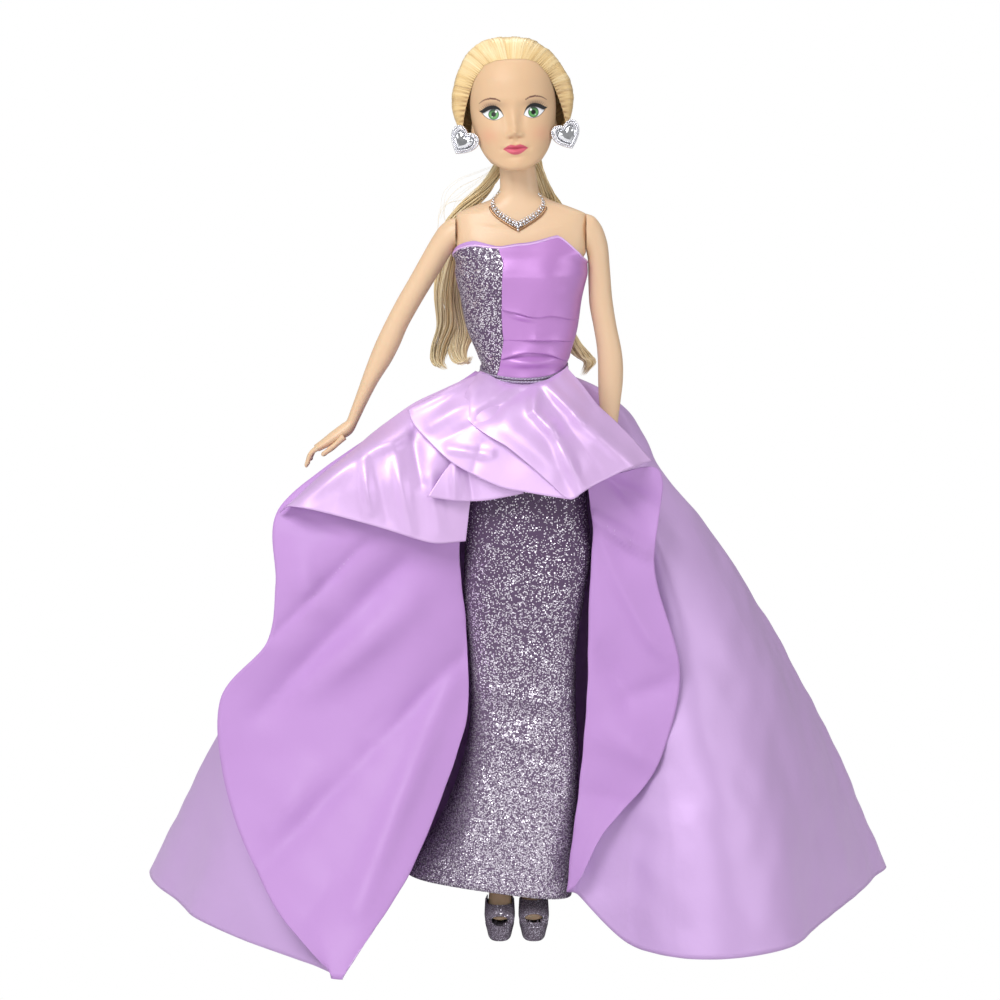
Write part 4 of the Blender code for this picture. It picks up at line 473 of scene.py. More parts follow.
FACE = principled("face_vinyl", (0.8, 0.5, 0.3), 0.50, Subsurface_Weight=0.08, Subsurface_Scale=0.0015)
paint = node_of(FACE.node_tree, "Attribute")
paint.attribute_name = "paint"
wire(FACE.node_tree, (paint, "Color", FACE.node_tree.nodes["Principled BSDF"], "Base Color"))
SIDE_LINE = 1.75  # radians from the middle of the face to the edge of the painted grid
rise = spread(0.02, 0.93, 250, [(0.56, 0.06, 2.2), (0.40, 0.04, 1.2), (0.30, 0.05, 1.2)])
angle = spread(-SIDE_LINE, SIDE_LINE, 340, [(0.52, 0.22, 1.8), (-0.52, 0.22, 1.8), (0.0, 0.3, 1.0)])
around = np.linspace(1.70, 2 * np.pi - 1.70, 70)
for name, rise, angle in (("face", rise, angle), ("head_back", np.linspace(0.0, 1.0, 60), around),
                          ("head_underside", np.linspace(0.0, 0.03, 6), np.linspace(-SIDE_LINE, SIDE_LINE, 90))):
    rise, angle = np.meshgrid(rise, angle, indexing="ij")
    skull = head_points(rise, angle)
    look, colors = SKIN, None
    if name == "face":
        skull = sculpted(skull)
        color = paint_face(skull).reshape(-1, 3)
        look, colors = FACE, {"paint": np.concatenate([color, np.ones((len(color), 1))], axis=1)}
    piece = mesh_from(name, on_doll(skull.reshape(-1, 3)), quads(*rise.shape)[:, ::-1], [look], None, colors)
    finished(piece, "face_vinyl", "head", "head_shell")

# %% [markdown]
# ## The hair
# The combed cap is a grid of flow lines. Each starts on the hairline and runs in a straight line, on a map of the
# head seen from its crown, to the gather at the nape. Noise that changes from line to line cuts combed grooves.

# %% Combed cap
HAIRLINE = [(0, 0.850), (25, 0.845), (45, 0.820), (60, 0.755), (72, 0.660), (82, 0.540), (92, 0.420), (105, 0.370),
            (125, 0.320), (150, 0.230), (180, 0.190)]
hair_rng = np.random.default_rng(11)


def line_noise(count, pitch, rng):
    """Smooth noise along a row: random values at knots a pitch apart, joined by a soft curve."""
    knots = rng.normal(size=int(count / pitch) + 4)
    place = np.arange(count) / pitch
    low = place.astype(int)
    part = place - low
    part = part * part * (3 - 2 * part)
    return knots[low] * (1 - part) + knots[low + 1] * part


def hair_look(name, base, deep, bright):
    """Golden fibre whose colour follows the strand attribute from deep through base to bright, a painted highlight and
    painted shade included.
    """
    made = principled(name, base, 0.34, Specular_IOR_Level=0.55)
    tree = made.node_tree
    strand, ramp = node_of(tree, "Attribute"), node_of(tree, "ValToRGB")
    strand.attribute_name = "strand"
    ramp.color_ramp.elements.new(0.5)
    for element, color in zip(ramp.color_ramp.elements, (deep, base, bright)):
        element.color = (*color, 1)
    wire(tree, (strand, "Fac", ramp, "Fac"), (ramp, "Color", tree.nodes["Principled BSDF"], "Base Color"))
    return made


LOCKS = hair_look("golden_hair", srgb(232, 200, 142), srgb(166, 124, 78), srgb(254, 240, 202))
lines, steps = 760, 64
start = spread(-math.pi, math.pi, lines, [(1.0, 0.6, 0.6), (-1.0, 0.6, 0.6), (0.0, 0.5, 0.4)])
edge = np.interp(np.degrees(np.abs(start)), *np.array(HAIRLINE).T)
reach = 1.0 - edge
begin = np.stack([reach * np.sin(start), -reach * np.cos(start)], axis=1)
gather = np.array([0.0, 0.735])
way = np.linspace(0.0, 1.0, steps) ** 1.15
map_place = begin[:, None] + (gather - begin[:, None]) * way[None, :, None]
map_place[..., 0] += 0.21 * np.sin(np.pi * way) * (np.sin(start) * np.clip(np.cos(start) + 0.75, 0, 1))[:, None]
far = np.linalg.norm(map_place, axis=-1)
turn = np.arctan2(map_place[..., 0], -map_place[..., 1])
top = 1.0 - far
local_edge = np.interp(np.degrees(np.abs(turn)), *np.array(HAIRLINE).T)
part = np.clip((top - local_edge) / (1 - local_edge), 0.0, 1.0)
rise_part = np.sin(np.clip(part * 2.2, 0, 1) * np.pi / 2)
side_bulge = np.sin(turn) ** 2 * bell((top - 0.45) / 0.25)
corner = bell((turn + 0.95) / 0.55, (top - 0.84) / 0.10)
puff = 0.9 + (2.3 + 4.9 * side_bulge + 1.7 * corner) * rise_part * (0.75 + 0.25 * np.sin(part * np.pi))
ear = bell((np.degrees(np.abs(start)) - 96) / 16)[:, None]
puff *= np.clip(0.12 + 0.75 * ear + way * 9, 0, 1)
puff += 3.4 * ear * np.clip(1 - way * 3.5, 0, 1)
coarse, middle, fine = (line_noise(lines, pitch, hair_rng)[:, None] for pitch in (22, 7, 2.4))
swell = np.clip(way * 5, 0.15, 1) * np.clip((1 - way) * 5, 0.2, 1)
puff += swell * (0.12 * coarse + 0.07 * middle + 0.05 * fine)
plug = np.clip(1 - way * 18, 0, 1) * np.clip(np.abs(np.sin(start))[:, None] * 1.9 - 0.8, 0.05, 1)
plug = plug * (np.arange(lines)[:, None] % 5 < 2)
puff -= 0.16 * plug
lock = np.clip((start + 1.15) / 0.25, 0, 1) * np.clip((0.46 - start) / 0.03, 0, 1)
puff += 0.45 * lock[:, None] * np.sin(np.pi * np.clip(way * 1.5, 0, 1))
cap = head_points(top, turn, puff)
tone = 0.56 + 0.04 * coarse + 0.06 * middle + 0.07 * fine + 0.05 * line_noise(lines, 1.1, hair_rng)[:, None]
# Painted highlight: a bright band across the front of the cap, just behind the hairline.
shine = bell((way - 0.10) / 0.05) * np.clip(np.cos(start)[:, None] * 1.6 - 0.5, 0, 1)
# Painted shade: the plug grooves along the hairline are darkened. The tone is also a little lower towards the sides.
tone = tone - 0.60 * plug + 0.22 * shine - 0.10 * np.abs(np.sin(start))[:, None] ** 3
tone = np.clip(np.broadcast_to(tone, cap.shape[:2]), 0, 1)
piece = mesh_from("hair_cap", on_doll(cap.reshape(-1, 3)), quads(lines, steps), [LOCKS], None, {"strand": tone.ravel()})
finished(piece, "hair", "head", "hair_crown")

# %% [markdown]
# Loose fibres lie over the cap along the same lines, a little above the grooves, so that its outline isn't hard.

# %% Fibres of the cap
FIBRES = 480
pick = hair_rng.choice(lines - 2, FIBRES) + 1
shift = hair_rng.uniform(0.02, 0.22, FIBRES)[:, None]
bend = hair_rng.normal(size=(FIBRES, 1)) * 0.004
stray_turn = turn[pick] + bend * np.sin(np.pi * way) * 1.5
stray = head_points(top[pick], stray_turn, puff[pick] + shift * np.sin(np.pi * np.clip(way, 0.02, 0.98)))
fibre = np.full(stray.shape[:2], 0.05) * np.clip(np.sin(np.pi * (way * 0.96 + 0.02)) * 3, 0.15, 1)
# The loose fibres are painted lighter than the cap under them, to make up for their own shade.
tone = np.repeat(np.clip(hair_rng.normal(0.70, 0.12, FIBRES), 0, 1), steps)
finished(tubes("hair_cap_fibres", on_doll(stray), fibre, [LOCKS], 3, {"strand": tone}), "hair", "head")

# %% [markdown]
# ## The ponytail
# Locks of hair leave the gather at the nape, pass the elastic and fall behind the back in waves. Each lock is a
# path of its own with a radius, and its fibres keep their places round the path. The lowest locks end in curls.

# %% Ponytail
# Each lock's path in the doll's frame, in millimetres, then its radius at the same points
TAIL_PATHS = [
    ([(-3.2, 11.5, 269), (-3.4, 14.2, 259.5), (-7, 14.8, 251), (-17, 15, 243), (-24, 17, 234), (-26, 18, 220),
      (-25, 19, 208), (-28, 19, 200), (-29, 15, 195), (-26, 12, 193)], [2.6, 1.3, 1.7, 2.2, 2.6, 2.8, 3.0, 2.6, 1.8, 0.6]),
    ([(-2.8, 12, 269), (-2.8, 14.4, 259.5), (-5.4, 14.8, 250), (-12, 16, 242), (-19, 18, 230), (-21, 20, 216),
      (-20, 20, 206), (-22, 17, 199), (-20, 13, 195), (-16, 13, 197)],
     [2.6, 1.3, 1.7, 2.4, 2.9, 3.2, 3.2, 2.6, 1.8, 0.6]),
    ([(-2.2, 12, 269), (-2.2, 14.6, 259.5), (-3, 15.4, 250), (-7, 18, 240), (-12, 20, 226), (-14, 21, 212),
      (-11, 21, 202), (-10, 19, 195)], [2.6, 1.3, 1.8, 2.8, 3.4, 3.6, 3.2, 1.0]),
    ([(-1.6, 12, 269), (-1.5, 14.7, 259.5), (-1, 15.4, 250), (-3, 18, 240), (-4, 21, 226), (-4, 21, 212), (-2, 20, 202),
      (0, 19, 194)], [2.6, 1.3, 1.8, 2.8, 3.4, 3.6, 3.2, 1.0]),
    ([(-1.0, 12, 269), (-0.8, 14.6, 259.5), (1, 15.2, 250), (2, 18, 240), (4, 20, 226), (5, 21, 212), (8, 20, 202),
      (12, 18, 196)], [2.6, 1.3, 1.8, 2.6, 3.2, 3.4, 3.0, 1.0]),
    ([(-0.4, 11.5, 269), (-0.2, 14.2, 259.5), (3, 14.8, 250), (6, 17, 240), (10, 19, 226), (12, 20, 212), (16, 19, 202),
      (21, 16, 197), (24, 13, 195), (22, 12, 191)], [2.6, 1.3, 1.8, 2.2, 2.8, 3.0, 2.8, 2.4, 1.6, 0.6]),
    ([(3.5, 10.5, 268), (5.0, 12.5, 262), (7.0, 12.5, 255), (10.5, 13.5, 248), (13.5, 15, 241), (14, 16.5, 230),
      (11, 18, 220)], [1.9, 1.9, 2.2, 2.6, 2.6, 2.2, 0.8]),
    ([(-5.5, 10.5, 268), (-7.0, 12.5, 262), (-12, 12.5, 254.5), (-17.5, 13.5, 248), (-22, 15, 242), (-24.5, 17, 234),
      (-24, 18, 224)], [1.9, 1.8, 2.2, 2.8, 2.8, 2.4, 0.8]),
]
tail_rng = np.random.default_rng(29)
strands, widths, tones = [], [], []
count, points = 94, 42
for number, (path, radius) in enumerate(TAIL_PATHS):
    middle = smooth(np.array(path, dtype=float), points)
    wide = smooth(np.array(radius, dtype=float)[:, None], points)[:, 0]
    down = np.linspace(0, 1, points)
    spin = tail_rng.uniform(0, 2 * np.pi, count)[:, None] + 0.9 * np.sin(2 * np.pi * down + number)[None, :]
    place = np.sqrt(tail_rng.uniform(0.02, 1, count))[:, None] * wide[None, :]
    frizz = np.cumsum(tail_rng.normal(size=(count, points, 3)), axis=1) * 0.035
    frizz -= frizz[:, :1]
    wave = 0.9 * np.sin(down * 9.0 + number * 1.7) * down
    offset = np.stack([place * np.cos(spin) * 1.25, place * np.sin(spin) * 0.75, np.zeros_like(place)], axis=-1)
    strands.append(middle[None] + offset + frizz + np.stack([wave, 0.3 * wave, 0 * wave], axis=-1)[None])
    ends = tail_rng.uniform(0.86, 1.0, count)[:, None]
    widths.append(0.18 * np.clip((ends - down[None, :]) * 18, 0.03, 1) * np.clip(down[None, :] * 12 + 0.3, 0, 1))
    # The ponytail's tones sit above the cap's, painted lighter to make up for the shade it hangs in behind the body.
    tones.append(np.repeat(np.clip(tail_rng.normal(0.80, 0.13, count), 0, 1)[:, None], points, axis=1))
tail = tubes("ponytail", np.concatenate(strands), np.concatenate(widths), [LOCKS], 3, {"strand": np.concatenate(tones)})
finished(tail, "hair", None, "ponytail_fall", "ponytail_root")
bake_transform(tail)

# %% [markdown]
# A few flyaway fibres stand off at the viewer's left of the neck, and the elastic holds the gather.

# %% Flyaways and elastic
TIE, TIE_WIDE, TIE_DEEP = (-1.8, 14.4, 259.2), 3.5, 2.4  # the elastic's centre and its two half widths
FLYAWAYS = [
    [(-6, 12, 262), (-13, 11, 257.5), (-20, 10, 254), (-24, 10, 250), (-25.5, 10, 245), (-24, 11, 240)],
    [(-6, 12, 263), (-14, 10, 260), (-21, 9, 257.2), (-25.5, 9, 252.8), (-26.5, 9, 246)],
    [(-7, 13, 261), (-15, 12, 256), (-22, 11, 251), (-27, 11, 247), (-28, 11, 240)],
    [(-5, 13, 262), (-12, 12, 255), (-18, 12, 250), (-25, 12, 248), (-27.5, 12, 243)],
    [(-7, 12, 260), (-16, 11, 253.6), (-22, 11, 248), (-23.5, 12, 241)],
]
flying = np.stack([smooth(np.array(path, dtype=float), 40) for path in FLYAWAYS])
flying = np.concatenate([flying + tail_rng.normal(scale=0.5, size=(5, 1, 3)) for _ in range(2)])
look = {"strand": np.full(flying.shape[:2], 0.8)}
flyaways = tubes("hair_flyaways", flying, np.full(flying.shape[:2], 0.035), [LOCKS], 3, look)
finished(flyaways, "hair", None)
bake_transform(flyaways)
turn = np.linspace(0, 1, 160) * 2 * np.pi
loop = np.stack([TIE_WIDE * np.cos(turn), TIE_DEEP * np.sin(turn), 0 * turn], axis=1) + TIE
loops = np.stack([loop + (0, 0, 0.55 * step) for step in (-1, 0, 1)])
tie = tubes("hair_elastic", loops, np.full(loops.shape[:2], 0.34), [HIDDEN], 8)
finished(tie, "elastic", "head", "hair_tie")

# %% [markdown]
# ## Folds
# Creases are added where a straight line in the front view runs: the nearer a point is to the line, the further it
# comes out. Uneven hollows come from a sum of sine waves in random directions.

# %% Folds
def crease(grid, lines):
    """Bring a grid out towards the viewer along lines of the front view: x, z, x, z, width, height.

    The height is a bell curve of the distance. A line with a negative height is a sharp valley.
    """
    x, z = grid[..., 0], grid[..., 2]
    out = np.zeros_like(x)
    for x0, z0, x1, z1, width, height in lines:
        run = np.array([x1 - x0, z1 - z0], dtype=float)
        along = ((x - x0) * run[0] + (z - z0) * run[1]) / (run @ run)
        near = np.clip(along, 0.0, 1.0)
        away = np.hypot(x - x0 - near * run[0], z - z0 - near * run[1])
        fade = np.clip(1.15 - np.abs(along - 0.5) * 1.3, 0.0, 1.0)
        shape = bell(away / width) if height > 0 else np.exp(-np.hypot(away, 0.4 * width) / width)
        out += height * shape * fade
    moved = grid.copy()
    moved[..., 1] -= out
    return moved


def lip(grid, line, heights, reach=4.0, sharp=0.2):
    """Bring cloth out on one side of a line of the front view, so that it ends in a fold's edge along the line.

    The side is the left as seen along the line. Behind the edge the height falls off over the reach.
    """
    line = smooth(np.array(line, dtype=float), 60)
    height = np.interp(np.linspace(0, 1, 60), np.linspace(0, 1, len(heights)), heights)
    x, z = grid[..., 0], grid[..., 2]
    best, side, tall = np.full(x.shape, 1e9), np.zeros(x.shape), np.zeros(x.shape)
    for start, end, low in zip(line[:-1], line[1:], height):
        run = end - start
        part = np.clip(((x - start[0]) * run[0] + (z - start[1]) * run[1]) / (run @ run), 0, 1)
        from_x, from_z = x - start[0] - part * run[0], z - start[1] - part * run[1]
        away = np.hypot(from_x, from_z)
        nearer = away < best
        best = np.where(nearer, away, best)
        side = np.where(nearer, run[0] * from_z - run[1] * from_x, side)
        tall = np.where(nearer, low, tall)
    moved = grid.copy()
    moved[..., 1] -= tall * np.where(side > 0, np.exp(-best / reach), bell(best / sharp))
    return moved


def ripple(grid, normal, seed, height, length):
    """Soft uneven hollows: the sum of a few sine waves in random directions of space."""
    rng = np.random.default_rng(seed)
    total = np.zeros(grid.shape[:2])
    for _ in range(7):
        wave = rng.normal(size=3)
        wave *= 2 * np.pi / (length * rng.uniform(0.7, 1.6)) / np.linalg.norm(wave)
        total += np.sin(grid @ wave + rng.uniform(0, 2 * np.pi)) / 7
    return grid + normal * (total * height)[..., None]


# %% [markdown]
# ## Body, arms and legs
# The body is a stack of rings. A ring is a squarish ellipse: its depth in front differs from its depth behind. Two
# soft hills make the bust. The two moulded halves meet at each side in a shallow groove.

# %% Torso
# Rows: height, half width, front depth, back depth, squareness
TORSO = smooth([
    (140.5, 6.5, 5.6, 6.5, 1.00), (144.8, 12.0, 9.5, 12.0, 0.95), (151.4, 15.9, 11.4, 14.8, 0.92),
    (161.2, 17.3, 12.0, 15.0, 0.92), (173.3, 16.6, 11.4, 12.9, 0.95), (184.2, 14.0, 10.1, 9.9, 0.98),
    (195.8, 12.2, 9.2, 8.8, 1.00), (203.7, 13.1, 9.9, 9.0, 1.00), (214.6, 17.2, 12.9, 10.1, 0.96),
    (225.5, 20.2, 15.2, 11.4, 0.92), (230.5, 20.3, 14.1, 11.2, 0.88), (234.4, 22.2, 12.0, 10.6, 0.74),
    (238.5, 22.4, 9.6, 9.8, 0.68), (243.2, 22.3, 7.4, 8.0, 0.68), (246.0, 21.4, 6.3, 7.0, 0.78),
    (248.4, 15.9, 5.8, 6.4, 0.90), (250.6, 9.9, 5.6, 6.2, 0.98), (253.5, 6.6, 5.5, 6.0, 1.00),
    (262.0, 5.9, 5.7, 5.8, 1.00),
], 400)


def torso_at(height, angle, away):
    """Points on the torso at heights and angles (0 at +X, a quarter turn back in front), moved out."""
    height, angle, away = np.broadcast_arrays(height, angle, away)
    half, front, back, square = (np.interp(height, TORSO[:, 0], TORSO[:, number]) for number in range(1, 5))
    half = np.minimum(half, 21.55)
    cosine, sine = signed_power(np.cos(angle), square), signed_power(np.sin(angle), square)
    lean = -1.4 * np.clip((height - 245.5) / 16.5, 0, 1) - 0.12 * bell((height - 240) / 6) + bell((height - 195) / 10)
    x = (half + away) * cosine + lean
    y = np.where(sine > 0, back + away, front + away) * sine
    for side in (-1, 1):
        hill = bell((x - side * 9.2) / 6.2, (height - 225.0) / 6.5)
        bone = bell((x - side * 9.5) / 6.5, (height - 241.5 - 0.10 * (side * x - 9.5)) / 0.9)
        y = y - np.clip(-sine, 0, 1) * (1.1 * hill + 0.20 * bone)
    return np.stack([x, y, height], axis=-1)


def merged(parts):
    """Points and faces of several parts as one mesh."""
    starts = np.cumsum([0] + [len(points) for points, _ in parts])
    return (np.concatenate([points for points, _ in parts]),
            np.concatenate([faces + start for (_, faces), start in zip(parts, starts)]))


def lofted(rings):
    """Points and quads of a body through rings, closed at both ends by rings that shrink to a point."""
    ends = [rings[at].mean(axis=0) + (rings[at] - rings[at].mean(axis=0)) * size
            for at, size in ((0, 0.01), (0, 0.7), (-1, 0.7), (-1, 0.01))]
    rings = np.concatenate([[ends[0], ends[1]], rings, [ends[2], ends[3]]])
    return rings.reshape(-1, 3), quads(rings.shape[0], rings.shape[1], True)


def skin_piece(name, parts, body, *nodes, flip=False):
    """One skin object from parts, riding a body and standing for nodes."""
    points, faces = merged(parts)
    piece = mesh_from(name, points, faces[:, ::-1] if flip else faces, [SKIN])
    return finished(piece, "body_vinyl", body, *nodes)


def finger(line, sides, wide, side):
    """A closed tube along a line, as wide as asked at each of its points, round a fixed side direction."""
    rise = np.cross(side, unit_steps(line))
    ring = full_turn(sides)[None, :, None]
    return lofted(line[:, None] + wide[:, None, None] * (np.cos(ring) * side + np.sin(ring) * rise[:, None]))


height = spread(140.6, 262.0, 260, [(246, 5, 1.5)])[:, None]
angle = spread(-np.pi, np.pi, 241, [(0, 0.05, 4), (-np.pi, 0.05, 4), (np.pi, 0.05, 4)])[None, :-1]
torso = torso_at(height, angle, 0.0)
torso = torso - normals(torso, True) * (0.14 * bell(torso[..., 1] / 0.22))[..., None]
arch = 152.0 + np.sqrt(np.clip(11.2**2 - torso[..., 1] ** 2, 0, None))
torso[..., 0] = np.where(torso[..., 2] < arch, np.clip(torso[..., 0], -7.8, 7.8), torso[..., 0])
skin_piece("torso_skin", [lofted(torso)], "torso", "torso_front_shell", "torso_back_shell")

# %% [markdown]
# An arm is drawn by its two edges in the front view: each row holds the outer and the inner edge and the depth. The
# hand carries on from the wrist as a flat palm, and fingers are small tubes whose ends are rounded.

# %% Arms
# Rows: outer x and z, inner x and z, half depth; then each finger's joints in x and z, its depth and its radius
THUMB = 4
ARMS = {
    "arm_right": (
        [(-21.9, 244.6, -21.9, 234.6, 4.9), (-24.2, 244.0, -22.4, 233.9, 4.9), (-27.2, 241.6, -23.0, 233.0, 4.75),
         (-30.0, 237.5, -24.3, 231.2, 4.5), (-33.6, 231.2, -27.3, 226.4, 4.3), (-37.3, 224.6, -31.0, 220.4, 4.1),
         (-41.6, 217.2, -34.8, 214.0, 4.0), (-45.6, 209.6, -38.1, 208.0, 3.9), (-49.0, 202.4, -40.6, 202.2, 4.0),
         (-51.9, 195.1, -43.6, 196.4, 3.8), (-54.6, 187.6, -48.0, 189.6, 3.3), (-57.0, 181.0, -51.8, 182.4, 2.6),
         (-58.6, 176.9, -54.6, 176.6, 2.3), (-60.3, 175.6, -56.9, 172.4, 2.9), (-63.8, 173.0, -60.9, 169.9, 3.5),
         (-67.1, 170.3, -64.9, 167.8, 3.7), (-69.6, 168.4, -67.8, 166.4, 3.5)],
        [((-68.0, 167.9), (-70.3, 166.2), (-71.2, 164.2), (-71.9, 161.9), -2.7, 0.86),
         ((-68.0, 167.9), (-70.5, 165.9), (-71.6, 163.6), (-72.4, 161.0), -0.9, 0.90),
         ((-68.0, 167.9), (-70.4, 166.0), (-71.4, 163.8), (-72.0, 161.5), 0.95, 0.88),
         ((-67.7, 168.0), (-69.8, 166.3), (-70.6, 164.6), (-71.0, 162.9), 2.7, 0.78),
         ((-59.3, 171.6), (-62.5, 168.7), (-64.8, 166.9), (-66.9, 165.3), -3.3, 1.05)]),
    "arm_left": (
        [(21.6, 246.0, 21.6, 233.6, 5.1), (24.4, 244.8, 21.9, 232.2, 5.0), (27.0, 241.2, 22.2, 230.4, 4.8),
         (28.8, 235.5, 22.3, 227.5, 4.5), (29.6, 227.0, 22.4, 222.5, 4.2), (30.4, 217.8, 22.8, 215.5, 4.0),
         (31.8, 209.0, 24.2, 208.2, 3.9), (33.4, 201.5, 25.3, 201.6, 3.9), (34.1, 196.0, 25.7, 196.0, 3.9),
         (34.1, 190.0, 25.8, 190.0, 3.6), (33.4, 183.6, 26.1, 183.6, 3.1), (32.6, 177.0, 27.0, 177.0, 2.6),
         (32.0, 171.5, 27.8, 171.5, 2.3), (31.9, 168.0, 28.2, 168.0, 2.9), (31.9, 164.5, 28.4, 164.5, 3.5),
         (31.9, 161.0, 28.8, 161.0, 3.7), (31.8, 158.4, 29.2, 158.4, 3.5)],
        [((30.6, 159.5), (31.0, 155.8), (30.9, 152.4), (30.5, 149.0), -2.7, 0.86),
         ((30.6, 159.5), (31.1, 155.4), (31.0, 151.6), (30.5, 147.9), -0.9, 0.90),
         ((30.6, 159.5), (31.1, 155.5), (31.0, 152.0), (30.6, 148.4), 0.95, 0.88),
         ((30.6, 159.5), (31.0, 156.0), (30.9, 153.0), (30.6, 150.4), 2.7, 0.78),
         ((30.0, 168.5), (29.4, 164.5), (29.4, 161.6), (29.6, 158.8), -3.5, 1.05)]),
}
turn = full_turn(56)
for node, (edges, fingers) in ARMS.items():
    edge = smooth(edges, 190)
    outer, inner = edge[:, :2], edge[:, 2:4]
    middle, across = (np.insert((outer + sign * inner) / 2, 1, 0.0, axis=1) for sign in (1, -1))
    rings = middle[:, None] + across[:, None] * np.cos(turn)[None, :, None]
    rings[..., 1] += edge[:, 4:5] * np.sin(turn)
    parts = [lofted(rings)]
    place = np.linspace(0, 1, 26)
    taper = (1 - 0.22 * place + 0.05 * np.cos(place * 4 * np.pi)) * np.sqrt(np.clip((1.015 - place) * 9, 0, 1))
    for number, (*joints, deep, radius) in enumerate(fingers):
        closing = 0.0 if number == THUMB else 0.05
        line = smooth([(x, deep * (1 - closing * step), z) for step, (x, z) in enumerate(joints)], 26)
        parts.append(finger(line, 20, radius * taper, np.array([0.0, 1.0, 0.0])))
    skin_piece(node + "_skin", parts, node, node, flip=node == "arm_right")

# %% [markdown]
# The legs stand inside the skirt. Only the feet show: each is pitched forward in its shoe, with five toes.

# %% Legs and feet
# Rings down the leg: height, x, y, half width, front and back; then rings of the foot with its pitch
LEG = [(161.1, 11.7, 0, 3.2, 4.5, 4.5), (158.1, 11.9, 0, 4.0, 8.0, 8.0), (152.0, 12.5, 0, 4.9, 10.3, 10.3),
       (142.1, 12.5, 0.2, 5.1, 10.6, 10.8), (139.5, 9.4, 0.3, 8.1, 10.6, 10.8), (121.6, 9.2, 0.2, 8.3, 9.8, 10.2),
       (100.3, 8.8, 0, 7.3, 8.1, 8.3), (80.6, 7.7, -0.1, 5.9, 6.4, 5.8), (65.4, 7.2, 0.4, 6.2, 5.9, 7.4),
       (50.2, 6.7, 0.8, 5.5, 5.1, 7.0), (35.7, 6.0, 1.1, 3.7, 3.8, 4.5)]
FOOT = np.array([
    (26.0, 5.8, 1.4, 3.3, 3.4, 4.5, 10), (21.4, 5.7, 0.8, 3.5, 3.6, 5.9, 30), (16.4, 5.6, -1.8, 3.7, 3.2, 3.8, 48),
    (11.4, 5.6, -5.5, 4.1, 2.7, 2.7, 60), (8.8, 5.6, -9.2, 4.0, 1.8, 1.8, 76), (8.1, 5.6, -11.2, 3.0, 1.2, 1.2, 84),
])
FEET_X = -1.4  # the middle between the feet


def foot_rings(rows, side, turn, count, grow=0.0):
    """Rings of a foot in a raised heel at angles round it, grown by a clearance."""
    table = smooth(rows, count)
    depth = (np.where(np.sin(turn) > 0, table[:, 5:6], table[:, 4:5]) + grow) * np.sin(turn)
    pitch = np.radians(table[:, 6:7])
    return np.stack([side * table[:, 1:2] + FEET_X + (table[:, 3:4] + grow) * np.cos(turn),
                     table[:, 2:3] + depth * np.cos(pitch), table[:, 0:1] - depth * np.sin(pitch)], axis=-1)


for side, name in ((-1, "leg_right"), (1, "leg_left")):
    table = np.array([row + (0,) for row in LEG])
    table[:, 1] += side * 1.4 * (1 - np.clip((0.9 - table[:, 0] / 152.0) / 0.6, 0, 1))
    leg = foot_rings(np.concatenate([table, FOOT]), side, full_turn(48), 240)
    leg[..., 0] = np.where(leg[..., 2] > 140.2, side * np.maximum(side * leg[..., 0], 8.2), leg[..., 0])
    parts = [lofted(leg)]
    for toe in range(5):
        big = 1.05 if toe == 0 else 0.80 - 0.03 * toe
        x = side * (3.3 + 1.25 * toe + (0 if toe == 0 else 0.25)) + FEET_X
        line = smooth([(x, -9.4, 8.9), (x, -10.6 + 0.2 * toe, 8.5), (x, -11.7 + 0.25 * toe, 8.1)], 16)
        wide = big * np.sqrt(np.clip((1.02 - np.linspace(0, 1, 16)) * 5, 0, 1))
        ring = full_turn(16)
        parts.append(lofted(line[:, None] + wide[:, None, None]
                            * np.stack([np.cos(ring), 0 * ring, np.sin(ring)], axis=1)))
    skin_piece(name + "_skin", parts, name, name, flip=True)

# %% [markdown]
# ## The bodice
# Panels of cloth lie on the torso between two side lines. Heights of the top edge and of the waist are kept by
# angle. A pleat is a lip: the cloth above a line stands out and falls back at once below it.

# %% Bodice grids
TOP_EDGE = smooth([(-284, 227.9), (-270, 228.0), (-225, 228.4), (-180, 231.7), (-150, 234.6), (-125, 235.9),
                   (-102, 235.2), (-88, 236.4), (-75, 238.0), (-69, 238.6), (-66, 238.6), (-62, 237.9), (-35, 232.6),
                   (0, 229.8), (45, 228.4), (90, 227.9), (110, 227.9)], 200)
WAIST_EDGE = smooth([(-284, 196.6), (-230, 196.2), (-180, 194.2), (-150, 192.6), (-120, 191.7), (-90, 191.3),
                     (-60, 191.8), (-30, 193.4), (0, 195.3), (60, 196.4), (110, 196.6)], 200)
# The front seam's angle at shares of the way up, and marks for a panel's edge that lies on it
SEAM = np.array([(0.0, -131), (0.3, -114), (0.6, -108), (1.0, -102)])
ON_SEAM, SEAM_LAP = "seam", 0.1
# Each pleat: points of its line in the front view, then the lip's height at those points
PLEATS = [
    ([(-5.7, 214.9), (-1, 213.9), (4.4, 212.6), (10.2, 212.9), (19.0, 211.0)], [1.3, 1.1, 0.5, 0.95, 0.5]),
    ([(-6.6, 205.1), (0, 204.9), (4.4, 204.9), (10, 204.7), (17.3, 204.2)], [0.3, 0.5, 1.5, 1.4, 0.8]),
    ([(-8.8, 197.7), (-3, 199.7), (2.2, 200.7), (8.6, 200.1), (14.8, 197.5)], [0.7, 1.7, 1.9, 1.7, 0.7]),
]


